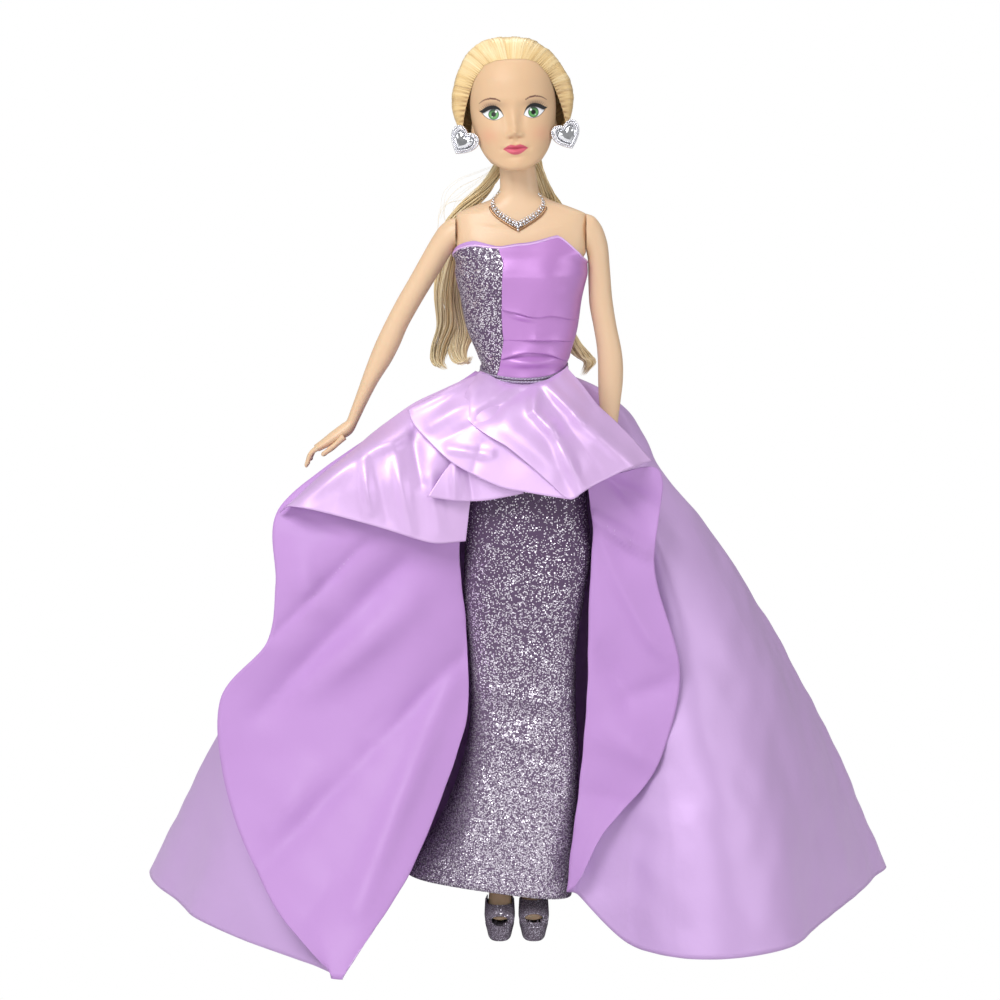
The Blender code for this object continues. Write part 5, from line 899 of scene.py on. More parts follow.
def bodice_grid(rows, columns, left, right, away, low=0.0, high=1.0, lift=0.0):
    """A grid on the torso between two side lines of angles in degrees, from the waist to the top edge."""
    up = np.linspace(low, high, rows)[:, None]
    first, last = (np.interp(up, *SEAM.T) + SEAM_LAP if side == ON_SEAM else np.full(up.shape, side)
                   for side in (left, right))
    degrees = first + (last - first) * np.linspace(0, 1, columns)
    bottom = np.interp(degrees, *WAIST_EDGE.T)
    top = np.interp(degrees, *TOP_EDGE.T) + (lift(degrees) if callable(lift) else lift)
    level = bottom + (top - bottom) * up
    loose = 2.3 * np.cos(np.radians(degrees)) ** 2 * bell((level - 205.0) / 9.0) * np.clip((level - 194.0) / 4.0, 0, 1)
    return torso_at(level, np.radians(degrees), (away(degrees) if callable(away) else away) + loose)


def pleated(grid):
    """Lay the pleats' lips on a grid, and the folds that show under them."""
    for line, heights in PLEATS:
        grid = lip(grid, line, heights, 3.6, 0.14)
    x, z = grid[..., 0], grid[..., 2]
    out = 0.8 * bell((x - 0.2) / 3.6, (z - 212.4 + 0.20 * x) / 0.8) + 1.9 * bell((x - 2.6) / 8.0, (z - 197.2) / 1.5)
    out += 0.5 * bell((x - 15) / 4.0, (z - 220.5) / 2.2)
    moved = grid.copy()
    moved[..., 1] -= out * np.clip(-grid[..., 1] / 5.0, 0, 1)
    return moved


def cloth_piece(name, grid, materials, slot, *nodes, thickness=0.42, held="stretched", over="torso_front_shell"):
    piece = finished(sheet(name, grid, materials, thickness), slot, "torso", *nodes)


# %% Bodice panels
glitter_grid = bodice_grid(120, 110, -179.3, ON_SEAM, 1.55)
glitter_grid = crease(glitter_grid, [(-21, 230, -17, 222, 1.6, 0.5), (-12, 199, -10, 192, 1.2, 0.4)])
glitter_grid = ripple(glitter_grid, normals(glitter_grid), 41, 0.22, 11)
cloth_piece("bodice_glitter", glitter_grid, [BODICE_GLITTER], "glitter_cloth", "bodice_glitter_panel")
satin_grid = pleated(bodice_grid(290, 165, ON_SEAM, -0.7, 1.62))
satin_grid = ripple(satin_grid, normals(satin_grid), 42, 0.28, 13)
cloth_piece("bodice_satin", satin_grid, [BODICE_SATIN], "satin", "bodice_satin_panel")
facing_grid = bodice_grid(40, 180, -178.5, -61.0, 0.72, 0.70, 1.0,
                          lambda degrees: 0.35 + 1.0 * np.clip((-104.0 - degrees) / 22.0, 0, 1))
facing_grid = facing_grid + normals(facing_grid) * (0.25 * np.linspace(0, 1, 40)[:, None, None] ** 3)
cloth_piece("bodice_facing_satin", facing_grid, [LINING], "satin", "bodice_facing", thickness=0.45)
back_grid = bodice_grid(120, 110, -284.0, -180.7, 1.55)
LAP = 2.4  # how far the right back panel stands off, over the left one and the closing's strips
right_grid = bodice_grid(120, 140, 0.7, 104.0, lambda degrees: 1.55 + LAP * np.clip((degrees - 58.0) / 14.0, 0, 1))
for side, grid in (("left", back_grid), ("right", right_grid)):
    cloth_piece(f"bodice_back_{side}_satin", grid, [BODICE_SATIN], "satin", f"bodice_back_{side}",
                over="torso_back_shell")
for name, away in (("closure_loop", 2.35), ("closure_hook", 3.15)):
    strip = bodice_grid(90, 24, 78.0, 102.0, away, 0.04, 0.96)
    cloth_piece(name, strip, [TAPE], "closure_tape", name + "_strip", thickness=0.45, held=None)

# %% [markdown]
# A narrow rolled edge of satin runs along the top of the front panels, and small stitches cross the seam. The waist
# has two cords, each of three thin strands laid round one another.

# %% Edges and cords
edge_line = np.concatenate([glitter_grid[-1, 2::3], satin_grid[-1, 2::3]]) - (0, 0.22, 0)
edge = tubes("bodice_edge", edge_line[None], np.full((1, len(edge_line)), 0.36), [SATIN_PAINTED_LIGHTER], 8)
seam_line = smooth(glitter_grid[::6, -1] + (0.15, -0.25, 0.0), 160)[4:-4:4]
stitches = np.stack([seam_line + step for step in ((-0.22, -0.1, -0.25), (0.0, -0.3, 0.0), (0.22, -0.1, 0.25))], axis=1)
stitch = tubes("bodice_seam_stitches", stitches, np.full(stitches.shape[:2], 0.07), [LINING], 4)
for piece in (edge, stitch):
    finished(piece, "satin", "torso")
degrees = np.linspace(-180, 180, 721)
level = np.interp(np.where(degrees > 110, degrees - 360, degrees), *WAIST_EDGE.T)
behind = LAP * np.clip((np.sin(np.radians(degrees)) - 0.80) / 0.12, 0, 1)
for name, lift in (("waist_cord_lower", -0.45), ("waist_cord_upper", 0.55)):
    middle = torso_at(level + lift, np.radians(degrees), 2.15 + behind)
    ahead = unit_steps(middle)
    side = np.cross(ahead, np.array([0.0, 0.0, 1.0]))
    rise = np.cross(side, ahead)
    spin = (np.radians(degrees) * 26 + full_turn(3)[:, None])[..., None]
    strand = middle + 0.21 * (np.cos(spin) * side + np.sin(spin) * rise)
    cord = tubes(name + "_strands", strand, np.full(strand.shape[:2], 0.25), [CORD], 6)
    finished(cord, "cord", "torso", name)

# %% [markdown]
# ## Jewellery
# Beads are small spheres repeated along a line. An earring has two rows of beads round a heart and a faceted mirror
# stone whose flats meet in sharp edges. The necklace is a V of crystals that grow towards its tip.

# %% Beads
def beads(centres, radii, rows=8, columns=10):
    """Points and quads of a sphere at each centre."""
    rise = np.linspace(-0.49 * np.pi, 0.49 * np.pi, rows)
    turn = full_turn(columns)
    ball = np.stack([np.cos(rise)[:, None] * np.cos(turn), np.cos(rise)[:, None] * np.sin(turn),
                     np.broadcast_to(np.sin(rise)[:, None], (rows, columns))], axis=-1).reshape(-1, 3)
    centres, radii = np.asarray(centres, dtype=float), np.asarray(radii, dtype=float)
    points = centres[:, None] + ball[None] * radii[:, None, None]
    faces = quads(rows, columns, True)[None] + (np.arange(len(centres)) * rows * columns)[:, None, None]
    return points.reshape(-1, 3), faces.reshape(-1, 4)


def evenly(line, step):
    """Points a step apart along a line."""
    way = np.concatenate([[0], np.cumsum(np.linalg.norm(np.diff(line, axis=0), axis=1))])
    place = np.linspace(0, way[-1], max(int(way[-1] / step), 2), endpoint=False)
    return np.stack([np.interp(place, way, line[:, number]) for number in range(3)], axis=1), place / way[-1]


def heart(size, count=360):
    """A closed line round a heart in the XZ plane, its tip down."""
    turn = np.linspace(0, 2 * np.pi, count)
    x = np.sign(np.sin(turn)) * np.abs(np.sin(turn)) ** 1.9
    z = (13 * np.cos(turn) - 3.6 * np.cos(2 * turn) - 1.5 * np.cos(3 * turn) - 0.5 * np.cos(4 * turn)) / 15
    return np.stack([x, 0 * x, z + 0.12], axis=1) * size


def worn(name, points, faces, material, side, node, flat=False):
    """A piece drawn in an earring's own frame, tip down and facing the viewer, and moved to its lobe."""
    sign = 1 if side == "left" else -1
    roll, swing = math.radians(-20 if side == "left" else 35), math.radians(19 * sign)
    swung = np.array([[math.cos(swing), -math.sin(swing), 0], [math.sin(swing), math.cos(swing), 0], [0, 0, 1]])
    lobe = np.array([sign * (13.74 + 9.4 * math.sin(math.radians(19))), 2.09 - 9.4 * math.cos(math.radians(19)), 8.2])
    piece = mesh_from(name, on_doll(points @ (swung @ about_y(roll)).T + lobe), faces, [material])
    if flat:
        piece.data.shade_flat()
    finished(piece, "stone" if flat else "silver", f"earring_{side}", node)


# %% Earrings
for side in ("left", "right"):
    node = f"earring_{side}_frame"
    outer, _ = evenly(heart(4.75), 0.62)
    inner, _ = evenly(heart(3.95), 0.55)
    row_one = beads(outer - (0, 0.75, 0), np.full(len(outer), 0.40))
    row_two = beads(inner - (0, 1.30, 0), np.full(len(inner), 0.34))
    rim = np.stack([heart(size, 121)[:-1] - (0, depth, 0) for size, depth in
                    ((4.7, 0.1), (4.75, 0.8), (4.3, 1.1), (3.9, 1.25), (3.45, 1.35), (3.4, 0.6), (0.5, 0.5))])
    plate = (rim.reshape(-1, 3), quads(7, 120, True))
    cover = np.stack([heart(4.7, 121)[:-1] - (0, 0.1, 0), heart(0.5, 121)[:-1] - (0, 0.05, 0)])
    parts = [row_one, row_two, plate, (cover.reshape(-1, 3), quads(2, 120, True)[:, ::-1])]
    worn(f"earring_{side}_beaded_frame", *merged(parts), SILVER, side, node)
    around = heart(3.38, 25)[:-1]
    turned = heart(3.38, 49)[1::2]
    girdle, crown, table = around - (0, 1.0, 0), turned * 0.80 - (0, 1.75, 0), around * 0.52 - (0, 2.1, 0)
    middle = table.mean(axis=0) - (0, 0.05, 0)
    count = 24
    at = np.arange(count)
    after = (at + 1) % count
    faces = np.concatenate([
        np.stack([at, after, at + count], axis=1), np.stack([after, after + count, at + count], axis=1),
        np.stack([at + count, after + count, after + 2 * count], axis=1),
        np.stack([at + count, after + 2 * count, at + 2 * count], axis=1),
        np.stack([at + 2 * count, after + 2 * count, np.full(count, 3 * count)], axis=1)])
    points = np.concatenate([girdle, crown, table, middle[None]])
    worn(f"earring_{side}_cut_stone", points, faces, MIRROR, side, f"earring_{side}_stone", True)
    post = np.linspace(0.1, 8.4, 30)
    ring = full_turn(20)
    wide = np.where(post > 7.8, 0.52, 0.55)
    stud = np.stack(np.broadcast_arrays(wide[:, None] * np.cos(ring), post[:, None], wide[:, None] * np.sin(ring)),
                    axis=-1)
    worn(f"earring_{side}_post", *lofted(stud), SILVER, side, f"earring_{side}_stud")

# %% Ears
for name, sign in (("ear_left", 1), ("ear_right", -1)):
    points, faces = beads(np.zeros((1, 3)), [1.0])
    points = points * (1.3, 2.3, 3.7) + (sign * 13.1, 2.6, 10.9)
    finished(mesh_from(name, on_doll(points), faces, [SKIN]), "face_vinyl", "head")

# %% Necklace
def front_of(x, z, away):
    """How far out the torso's front is at a place of the front view, and a little further."""
    turns = np.linspace(-np.pi, 0, 400)
    rows = [torso_at(level, turns, away) for level in z]
    return np.array([np.interp(place, row[:, 0], row[:, 1]) for place, row in zip(x, rows)])


CHAIN = np.array([(1.9, 7.2, 254.3), (4.3, 5.2, 254.3), (5.6, 1.2, 253.6), (7.9, 0, 251.4), (8.3, 0, 249.3),
                  (6.7, 0, 246.9), (3.6, 0, 244.6), (0, 0, 243.0)])
chain_line = smooth(np.concatenate([CHAIN, (CHAIN * (-1, 1, 1))[-2::-1]]), 400) + (-1.2, 0, 0)
lying = front_of(chain_line[:, 0], chain_line[:, 2], 0.75)
chain_line[:, 1] = np.where(chain_line[:, 2] < 252.6, lying, chain_line[:, 1])
chain_line[:, 1] = smooth(chain_line[::8, 1:2], 400)[:, 0]
front = np.clip((252.0 - chain_line[:, 2]) / 8.0, 0, 1)
centres, place = evenly(chain_line, 1.22)
big = np.interp(place, np.linspace(0, 1, 400), front)
crystals = [beads(centres, 0.36 + 0.24 * big)]
for drop, size in ((0.72, 0.30), (-0.62, 0.24)):
    row, where = evenly(chain_line, 0.84)
    share = np.interp(where, np.linspace(0, 1, 400), front)
    keep = share > 0.28
    slope = np.clip((row[:, 0] + 1.2) / 1.5, -1, 1)
    lower = row + np.stack([drop * 0.62 * slope, -0.35 + 0 * slope, -drop * (0.5 + 0.6 * share)], axis=1)
    crystals.append(beads(lower[keep], size * (0.8 + 0.35 * share[keep])))
drop_row = np.array([(-1.2, 0, 242.0), (-1.2, 0, 241.0), (-2.1, 0, 242.5), (-0.3, 0, 242.5)])
drop_row[:, 1] = front_of(drop_row[:, 0], drop_row[:, 2], 1.1)
crystals.append(beads(drop_row, [0.68, 0.42, 0.52, 0.52]))
finished(mesh_from("necklace_crystals", *merged(crystals), [SILVER]), "silver", "torso", "necklace_chain")
setting_line = chain_line[110:290].copy()
slope = np.clip((setting_line[:, 0] + 1.2) / 2.5, -1, 1)
setting_line = setting_line + np.stack([0.9 * slope, 0 * slope, -1.2 - 0.9 * (1 - np.abs(slope))], axis=1)
setting_line[:, 1] = front_of(setting_line[:, 0], setting_line[:, 2], 0.35)
setting = tubes("necklace_setting", setting_line[None], np.full((1, 180), 0.42), [BRONZE], 8)
finished(setting, "silver", "torso")
clasp_line = smooth([(-3.2, 7.3, 254.3), (-1.2, 7.7, 254.3), (0.8, 7.3, 254.3)], 40)
clasp_wide = 0.75 * np.sqrt(np.clip(1 - np.linspace(-1, 1, 40) ** 4, 0.02, 1))
clasp = tubes("necklace_hook", clasp_line[None], clasp_wide[None], [SILVER], 16)
finished(clasp, "silver", "torso", "necklace_clasp")

# %% [markdown]
# ## Shoes
# A shoe is a platform, a block heel and an upper. The upper is a sheet round the foot, cut away behind the instep
# and at the toes: a face is left out where it falls inside the opening's ellipse, and a binding hides the cut.

# %% Shoes
# Rings of the toe box, as the foot's: height, x, y, half width, up, down, pitch
TOE_BOX = np.array([(8.6, 5.6, -9.2, 4.25, 2.5, 3.2, 78), (7.5, 5.6, -11.4, 4.05, 2.5, 2.6, 86)])


def squarish(count, half_x, half_y, square):
    """A squarish ellipse."""
    turn = full_turn(count)
    ring = [half_x * signed_power(np.cos(turn), square), half_y * signed_power(np.sin(turn), square), 0 * turn]
    return np.stack(ring, axis=1)


for side, name in ((-1, "right"), (1, "left")):
    middle = side * 5.8 + FEET_X
    levels = smooth([(0.0, 0.66), (0.4, 0.73), (1.2, 0.78), (2.6, 0.84), (4.2, 0.92), (5.0, 0.95), (5.3, 0.92)], 24)
    platform = np.stack([squarish(90, 5.2 * wide, 4.6 + 2.1 * wide, 0.82) + (middle, -6.9, level)
                         for level, wide in levels])
    heel_table = smooth([(0.0, 1.75), (1.0, 1.72), (6.0, 1.75), (11.0, 2.1), (15.0, 3.0), (18.5, 3.7)], 50)
    heel = np.stack([squarish(60, wide, wide, 0.85) + (middle, 5.6, level) for level, wide in heel_table])
    upper = foot_rings(np.concatenate([FOOT[1:4], TOE_BOX]), side, full_turn(80), 150, 0.95)
    upper[..., 0] += side * 0.2
    upper[-1] += (0, -0.9, 0)
    upper = upper[:, ::-1]
    rows, columns, _ = upper.shape
    tip = upper[-1].mean(axis=0)
    cap = np.stack([tip + (upper[-1] - tip) * size for size in (1.0, 0.8, 0.55, 0.3, 0.02)])
    cap[..., 1] -= np.array([0, 0.7, 1.1, 1.3, 1.35])[:, None]
    shell = np.concatenate([upper, cap[1:]])
    face = quads(shell.shape[0], columns, True)
    flat = shell.reshape(-1, 3)
    centre = flat[face].mean(axis=1)
    toes_at, vamp_top = (7.5, 11.9) if side < 0 else (8.2, 13.2)
    opening = np.hypot((centre[:, 0] - middle) / 3.3, (centre[:, 2] - toes_at) / 1.7) < 1
    opening &= centre[:, 1] < -8.5
    throat = (centre[:, 2] > 17.0) | ((centre[:, 1] > -5.4) & (centre[:, 2] > 12.6))
    throat |= (centre[:, 2] > vamp_top) & (np.abs(centre[:, 0] - middle) < 4.3)
    keep = face[~(opening | throat)]
    middles = shell.mean(axis=1, keepdims=True)
    inside = middles + (shell - middles) * 0.95
    inside[-5:, :, 1] += 0.35
    parts = [lofted(platform), lofted(heel), (flat, keep), (inside.reshape(-1, 3), keep[:, ::-1])]
    points, faces = merged(parts)
    # The inner wall takes the near-black inside material, which is painted shade.
    slots = np.zeros(len(faces))
    slots[-len(keep):] = 1
    piece = mesh_from(f"shoe_{name}_glitter", points, faces, [SHOE, SHOE_INSIDE_PAINTED_SHADE], slots)
    finished(piece, "shoe_plastic", "leg_" + name, "shoe_" + name)
    turn = np.linspace(0, 2 * np.pi, 80)
    rim = np.stack([middle + 3.35 * np.cos(turn), np.full(80, -13.0), toes_at + 1.75 * np.sin(turn)], axis=1)
    close = np.hypot(flat[:, 0] - rim[:, :1], flat[:, 2] - rim[:, 2:]) + 100 * (flat[:, 1] > -6)
    rim[:, 1] = flat[close.argmin(axis=1), 1] - 0.1
    binding = tubes(f"shoe_{name}_binding", rim[None], np.full((1, 80), 0.32), [SHOE], 8)
    finished(binding, "shoe_plastic", "leg_" + name)

# %% [markdown]
# ## The train
# The train is drawn as ribs from the waist to the hem, from the free edge on one side, round a fold beside the
# skirt, round the back, and round a second fold to the other free edge. Rows of the grid are levels down the ribs.
# Shallow waves whose depth grows with the way down are added behind, and creases are added where a straight line
# in the front view runs: the nearer a point is to the line, the further it comes out.

# %% Train
RIBS = [
    [(-15.1, -1.8, 193.4), (-50, -3, 172), (-80.8, -12, 148.5), (-81.8, -16, 124), (-85, -17, 104), (-101, -14, 84),
     (-98.5, -18, 52), (-82, -38, 20), (-61, -57, 1.4)],
    [(-14.5, -3.7, 193.4), (-35, -7, 171), (-60, -16.5, 148), (-62, -17, 124), (-63, -17, 104), (-72, -17, 82),
     (-72, -24, 54), (-67, -42, 24), (-62.0, -57.8, 1.3)],
    [(-13.7, -5.6, 193.4), (-25, -12, 172), (-38, -17.5, 150), (-36, -16, 125), (-35, -15, 103), (-40, -18, 81),
     (-45, -28, 57), (-50, -43, 28), (-60.0, -58.4, 1.2)],
    [(-12.7, -7.2, 193.4), (-17, -14, 172), (-20.5, -15, 150), (-20.3, -11, 126), (-18.4, -10.5, 102),
     (-18.4, -13.5, 80), (-24.8, -23, 59), (-38, -40, 30), (-58.0, -58.4, 1.2)],
    [(-11.9, -6.2, 193.4), (-19.5, -9, 172), (-23, -11.5, 150), (-22.6, -7.8, 126), (-20.8, -7.4, 102),
     (-21.6, -10.4, 80), (-28.5, -19, 59), (-42, -36, 30), (-60.0, -55.6, 1.2)],
    [(-13.2, -4.3, 193.4), (-24, -4, 172), (-32, -5, 150), (-33, -3, 126), (-34, -3, 102), (-38, -6, 80),
     (-46, -14, 57), (-57, -29, 29), (-69, -43, 1.2)],
    [(-14.1, -1.4, 193.4), (-30, 1, 172), (-44, 3, 150), (-54, 4, 126), (-62, 4, 102), (-70, 2, 80), (-79, -2, 55),
     (-88, -7, 28), (-96.5, -12, 1.0)],
    [(-14.0, 2.0, 193.4), (-32, 8, 172), (-50, 14, 150), (-65, 18, 126), (-77, 20, 102), (-89, 20.5, 80),
     (-100, 20, 55), (-109, 19.5, 28), (-117, 19, 1.0)],
    [(-12.5, 6.2, 193.4), (-29, 19, 172), (-47, 32, 150), (-63, 42, 126), (-77, 50, 102), (-92, 57, 80),
     (-108, 64, 55), (-122, 69, 28), (-134.5, 74, 1.0)],
    [(-8.6, 9.9, 193.4), (-20, 25, 172), (-34, 41, 150), (-47, 54, 126), (-58, 64, 102), (-70, 72, 80),
     (-82, 79, 55), (-93, 86, 28), (-104, 92, 1.0)],
    [(0, 11.9, 193.4), (0, 29, 174), (0, 43, 152), (0, 56, 128), (0, 68, 103), (0, 78, 80), (0, 87, 55), (0, 95, 28),
     (0, 102, 1.0)],
    [(8.6, 9.9, 193.4), (19, 25, 174), (31, 40, 152), (43, 53, 128), (54, 64, 103), (65, 73, 80), (77, 81, 55),
     (89, 89, 28), (100, 95, 1.0)],
    [(12.5, 6.2, 193.4), (34.5, 18, 179.5), (46.5, 29, 158), (62, 38, 138), (79, 48, 112), (95, 58, 84), (109, 67, 56),
     (122, 75, 28), (133.6, 82.5, 1.0)],
    [(13.7, 3.6, 193.4), (35.5, 14, 179.5), (48, 24, 158), (63.5, 31, 138), (80, 38, 112), (95, 45, 84), (109, 51, 56),
     (120, 56, 28), (129.5, 60, 1.0)],
    [(14.1, 2.3, 193.4), (34, 11, 179), (45, 18, 158), (59, 20, 138), (73, 20, 112), (86, 19, 84), (95, 17, 56),
     (102, 15, 28), (107.5, 12.6, 1.0)],
    [(14.2, 1.2, 193.4), (30.5, 9.5, 178.6), (41, 14, 158), (52, 13, 138), (64, 9, 112), (74, 3, 84), (82, -5, 56),
     (88, -14, 28), (92, -21.5, 1.0)],
    [(14.2, 0.2, 193.4), (25, 8, 178), (36, 10, 158), (45, 8, 138), (54, 2, 112), (60, -7, 84), (66, -17, 56),
     (70, -27, 28), (72.5, -35, 1.0)],
    [(14.1, -0.8, 193.4), (22.5, 5, 178), (31, 9.5, 158), (38, 8, 138), (44, 3, 112), (48, -7, 84), (50, -16, 56),
     (52, -26, 28), (52.5, -35, 1.0)],
    [(13.9, -2.0, 193.4), (20.5, 1.5, 178), (26, 6.5, 158), (31, 5, 138), (34, 2.5, 112), (36, -4, 84), (37, -9, 56),
     (36.6, -15, 28), (35.5, -20.8, 2.2)],
    [(12.7, -5.1, 193.4), (19.6, -8.5, 176), (25.6, -8.8, 160), (27.8, -6.5, 143), (27.7, -6, 118), (26.6, -6.6, 90),
     (24.6, -7.5, 62), (22, -10.8, 40), (19.2, -15, 17)],
    [(13.2, -6.6, 193.4), (16.8, -14.8, 176), (21, -15.6, 160), (24, -12.8, 143), (23.6, -12, 118),
     (22.8, -12, 90), (20.5, -13, 62), (18, -15.5, 40), (15.8, -19, 19)],
    [(14.5, -5.2, 193.3), (18, -15, 176), (23.5, -15.6, 160.2), (34.5, -11.2, 150), (34, -11.6, 122),
     (38, -12.6, 91), (33, -14.2, 61), (23.4, -17.4, 40), (18, -20.3, 21)],
    [(15.2, -3.6, 193.2), (19, -14.6, 176.4), (26, -14.6, 160.5), (46.5, -9.5, 160.5), (44.6, -11, 128),
     (53.5, -11.5, 92), (45, -14.5, 60), (27.6, -18.4, 39), (20.6, -21, 25)],
]


# Folds of the two lapels in the front view: x, z, x, z, width, height; a negative height is a valley
LEFT_FOLDS = [
    (-48, 141.5, -83, 106, 2.0, -3.6), (-80, 147, -60, 141, 4.0, -4.5), (-73, 133, -70, 116, 5.0, 3.0),
    (-32, 138, -52, 118, 5.0, -6.0), (-50, 120, -88, 79, 5.0, -6.5), (-38, 116, -72, 88, 6.0, 4.0),
    (-19, 99, -50.6, 67.8, 3.4, -4.4), (-50.6, 67.8, -89, 28, 3.8, -5.0), (-24, 90, -54, 22, 4.5, 3.2),
    (-52, 74, -60, 84, 2.0, -1.2), (-52, 74, -44, 82, 2.0, -1.0), (-70, 60, -84, 44, 6.0, 2.0),
    (-62, 30, -74, 12, 4.0, -2.0),
]
RIGHT_FOLDS = [
    (26, 160, 47, 148, 3.0, -5.0), (30, 158, 43.4, 142, 1.6, -2.4), (24, 146.5, 42, 133.4, 2.1, 3.6),
    (27, 100, 36, 84, 4.0, -4.0), (36, 84, 53, 90, 4.0, -4.0), (28, 72, 48, 62, 6.0, 3.2),
    (22, 52, 40, 46, 4.0, -3.0),
]


def ribbed(ribs, rows, columns):
    """A grid through ribs: columns across them and rows down them."""
    across = smooth(np.array(ribs, dtype=float), columns)
    return smooth(across.transpose(1, 0, 2), rows)


train = ribbed(RIBS, 132, 360)
rib = np.linspace(0, len(RIBS) - 1, train.shape[1])[None, :]
down = np.linspace(0, 1, train.shape[0])[:, None]
span = np.clip((rib - 6) / 8, 0, 1)
wave = np.cos(8 * np.pi * span) * np.sin(np.pi * span) ** 2 * down**1.5 * 4.5
flat_normal = normals(train)
flat_normal[..., 2] = 0.0
train = train + flat_normal * wave[..., None]
train = ripple(train, normals(train), 3, 1.1, 34)
train = ripple(train, normals(train), 8, 0.35, 13)
train[..., 2] = np.maximum(train[..., 2], 0.8)
left_side = np.clip((3.6 - rib) / 0.8, 0, 1)[..., None]
right_side = np.clip((rib - 19.4) / 0.6, 0, 1)[..., None]
train = train + (crease(train, LEFT_FOLDS) - train) * left_side
STRIP_LINE, STRIP_HEIGHTS = [(21, 156), (31.6, 127), (43.4, 105), (50.2, 98.5)], [1.0, 2.4, 2.4, 1.1]
strip = lip(crease(train, RIGHT_FOLDS), STRIP_LINE, STRIP_HEIGHTS, 6, 3.0)
train = train + (strip - train) * right_side
cloth_piece("train_satin", train, [TRAIN, LINING], "satin", "left_lapel", "right_lapel", "train_left", "train_back",
            "train_right", "train_inner", thickness=0.35, held="gathered")

# %% [markdown]
# ## The front layers
# Two layers of the front drape, the layer to the side and the small flap are ribbed sheets too. The bright fans of
# the satin come from creases that run out from where the cloth is gathered.

# %% Front layers
UPPER = [
    [(-14.8, -8.6, 193.0), (-18.5, -14.5, 187.5), (-19.3, -19, 181.0)],
    [(-12.4, -10.8, 192.4), (-16.2, -18, 185), (-16.0, -22, 177.6)],
    [(-9.0, -12.6, 191.4), (-11.0, -20.2, 182), (-10.8, -24, 174.2)],
    [(-5.0, -13.7, 190.6), (-5.0, -22, 181), (-5.0, -25.4, 171.0)],
    [(-0.5, -14.2, 190.2), (1.0, -22.6, 179), (3.0, -26.4, 164.6)],
    [(4.0, -14.0, 190.3), (6.5, -22.8, 177), (9.4, -27.6, 159.0)],
    [(8.0, -13.2, 191.0), (11.5, -22.4, 175), (15.6, -28.0, 153.9)],
    [(10.5, -12.0, 192.0), (15.5, -21, 176), (20.5, -26.8, 156.6)],
    [(13.0, -10.2, 193.2), (20.5, -18, 178), (28.5, -22.8, 160.2)],
    [(14.8, -8.0, 194.2), (24.5, -13.5, 180), (36.2, -17.6, 163.0)],
    [(15.9, -6.0, 195.2), (25.5, -9.2, 183), (33.5, -9.8, 175.4), (43.6, -9.6, 164.3)],
]
BAND = [
    [(-15.4, -8.0, 192.9), (-24, -11.0, 189.0), (-31, -12.5, 185.4), (-37.6, -13.0, 181.8)],
    [(-14.3, -9.0, 192.6), (-22, -13.4, 187), (-30, -15.4, 182), (-36.0, -15.8, 177.9)],
    [(-13.0, -9.9, 192.2), (-20, -15.8, 185), (-27, -18.2, 179), (-33.2, -18.2, 174.6)],
    [(-11.0, -11.0, 191.6), (-16, -18.2, 183), (-21, -21.2, 174), (-24.2, -23.2, 166.4)],
    [(-8.5, -12.0, 190.9), (-11, -19.4, 181), (-13.5, -22.7, 171), (-15.4, -24.8, 161.4)],
    [(-5.0, -12.7, 190.2), (-5.6, -20.2, 179), (-6.2, -23.4, 168), (-6.6, -25.8, 157.6)],
    [(0.0, -13.0, 189.8), (1.0, -20.8, 178), (1.8, -24.2, 167), (2.3, -26.6, 155.9)],
    [(4.0, -12.8, 190.0), (8.0, -21.0, 178), (12, -25.2, 166), (15.2, -27.2, 153.8)],
]
SIDE = [
    [(-15.3, -6.2, 193.4), (-36, -7.0, 183.2), (-60, -11.5, 165.2), (-80.4, -13.5, 147.6)],
    [(-14.2, -7.6, 193.1), (-34, -12, 179), (-57, -19, 164), (-76.6, -18.5, 150.0)],
    [(-13.6, -8.2, 192.9), (-30, -14, 176.5), (-50, -21.5, 160), (-69.0, -22, 149.6)],
    [(-12.9, -8.8, 192.7), (-24, -17, 174), (-37, -22, 157), (-49.0, -23, 144.5)],
    [(-11.4, -9.9, 192.1), (-17.5, -17, 172), (-24, -19.5, 155), (-30, -22, 138.6)],
    [(-9.9, -10.6, 191.6), (-13, -17.3, 172), (-16.5, -18.5, 155), (-18.5, -18.5, 138.6)],
]
FLAP = [
    [(-8.3, -10.0, 190.5), (-15, -18.8, 176), (-25, -22.3, 163), (-31, -24.5, 154.2)],
    [(-7.6, -10.4, 190.3), (-13, -19.2, 174), (-19, -22, 163), (-20.6, -23, 152.6)],
    [(-6.9, -10.8, 190.1), (-9, -19.4, 174), (-11, -21.5, 163), (-11.5, -22.5, 152.8)],
    [(-6.2, -11.1, 190.0), (-4, -19.4, 174), (-1, -21.5, 163), (0.7, -22.3, 155.1)],
]


def rounded(ribs, levels=4):
    """Ribs redrawn with the same number of points, the first of them drawn in under the waist's cord."""
    ribs = [smooth(one, levels) for one in ribs]
    return [np.concatenate([[rib[0] * (0.93, 0.80, 1) + (0.6, 0, 0.5), rib[0] - (0, 0, 1.0)], rib[1:]]) for rib in ribs]


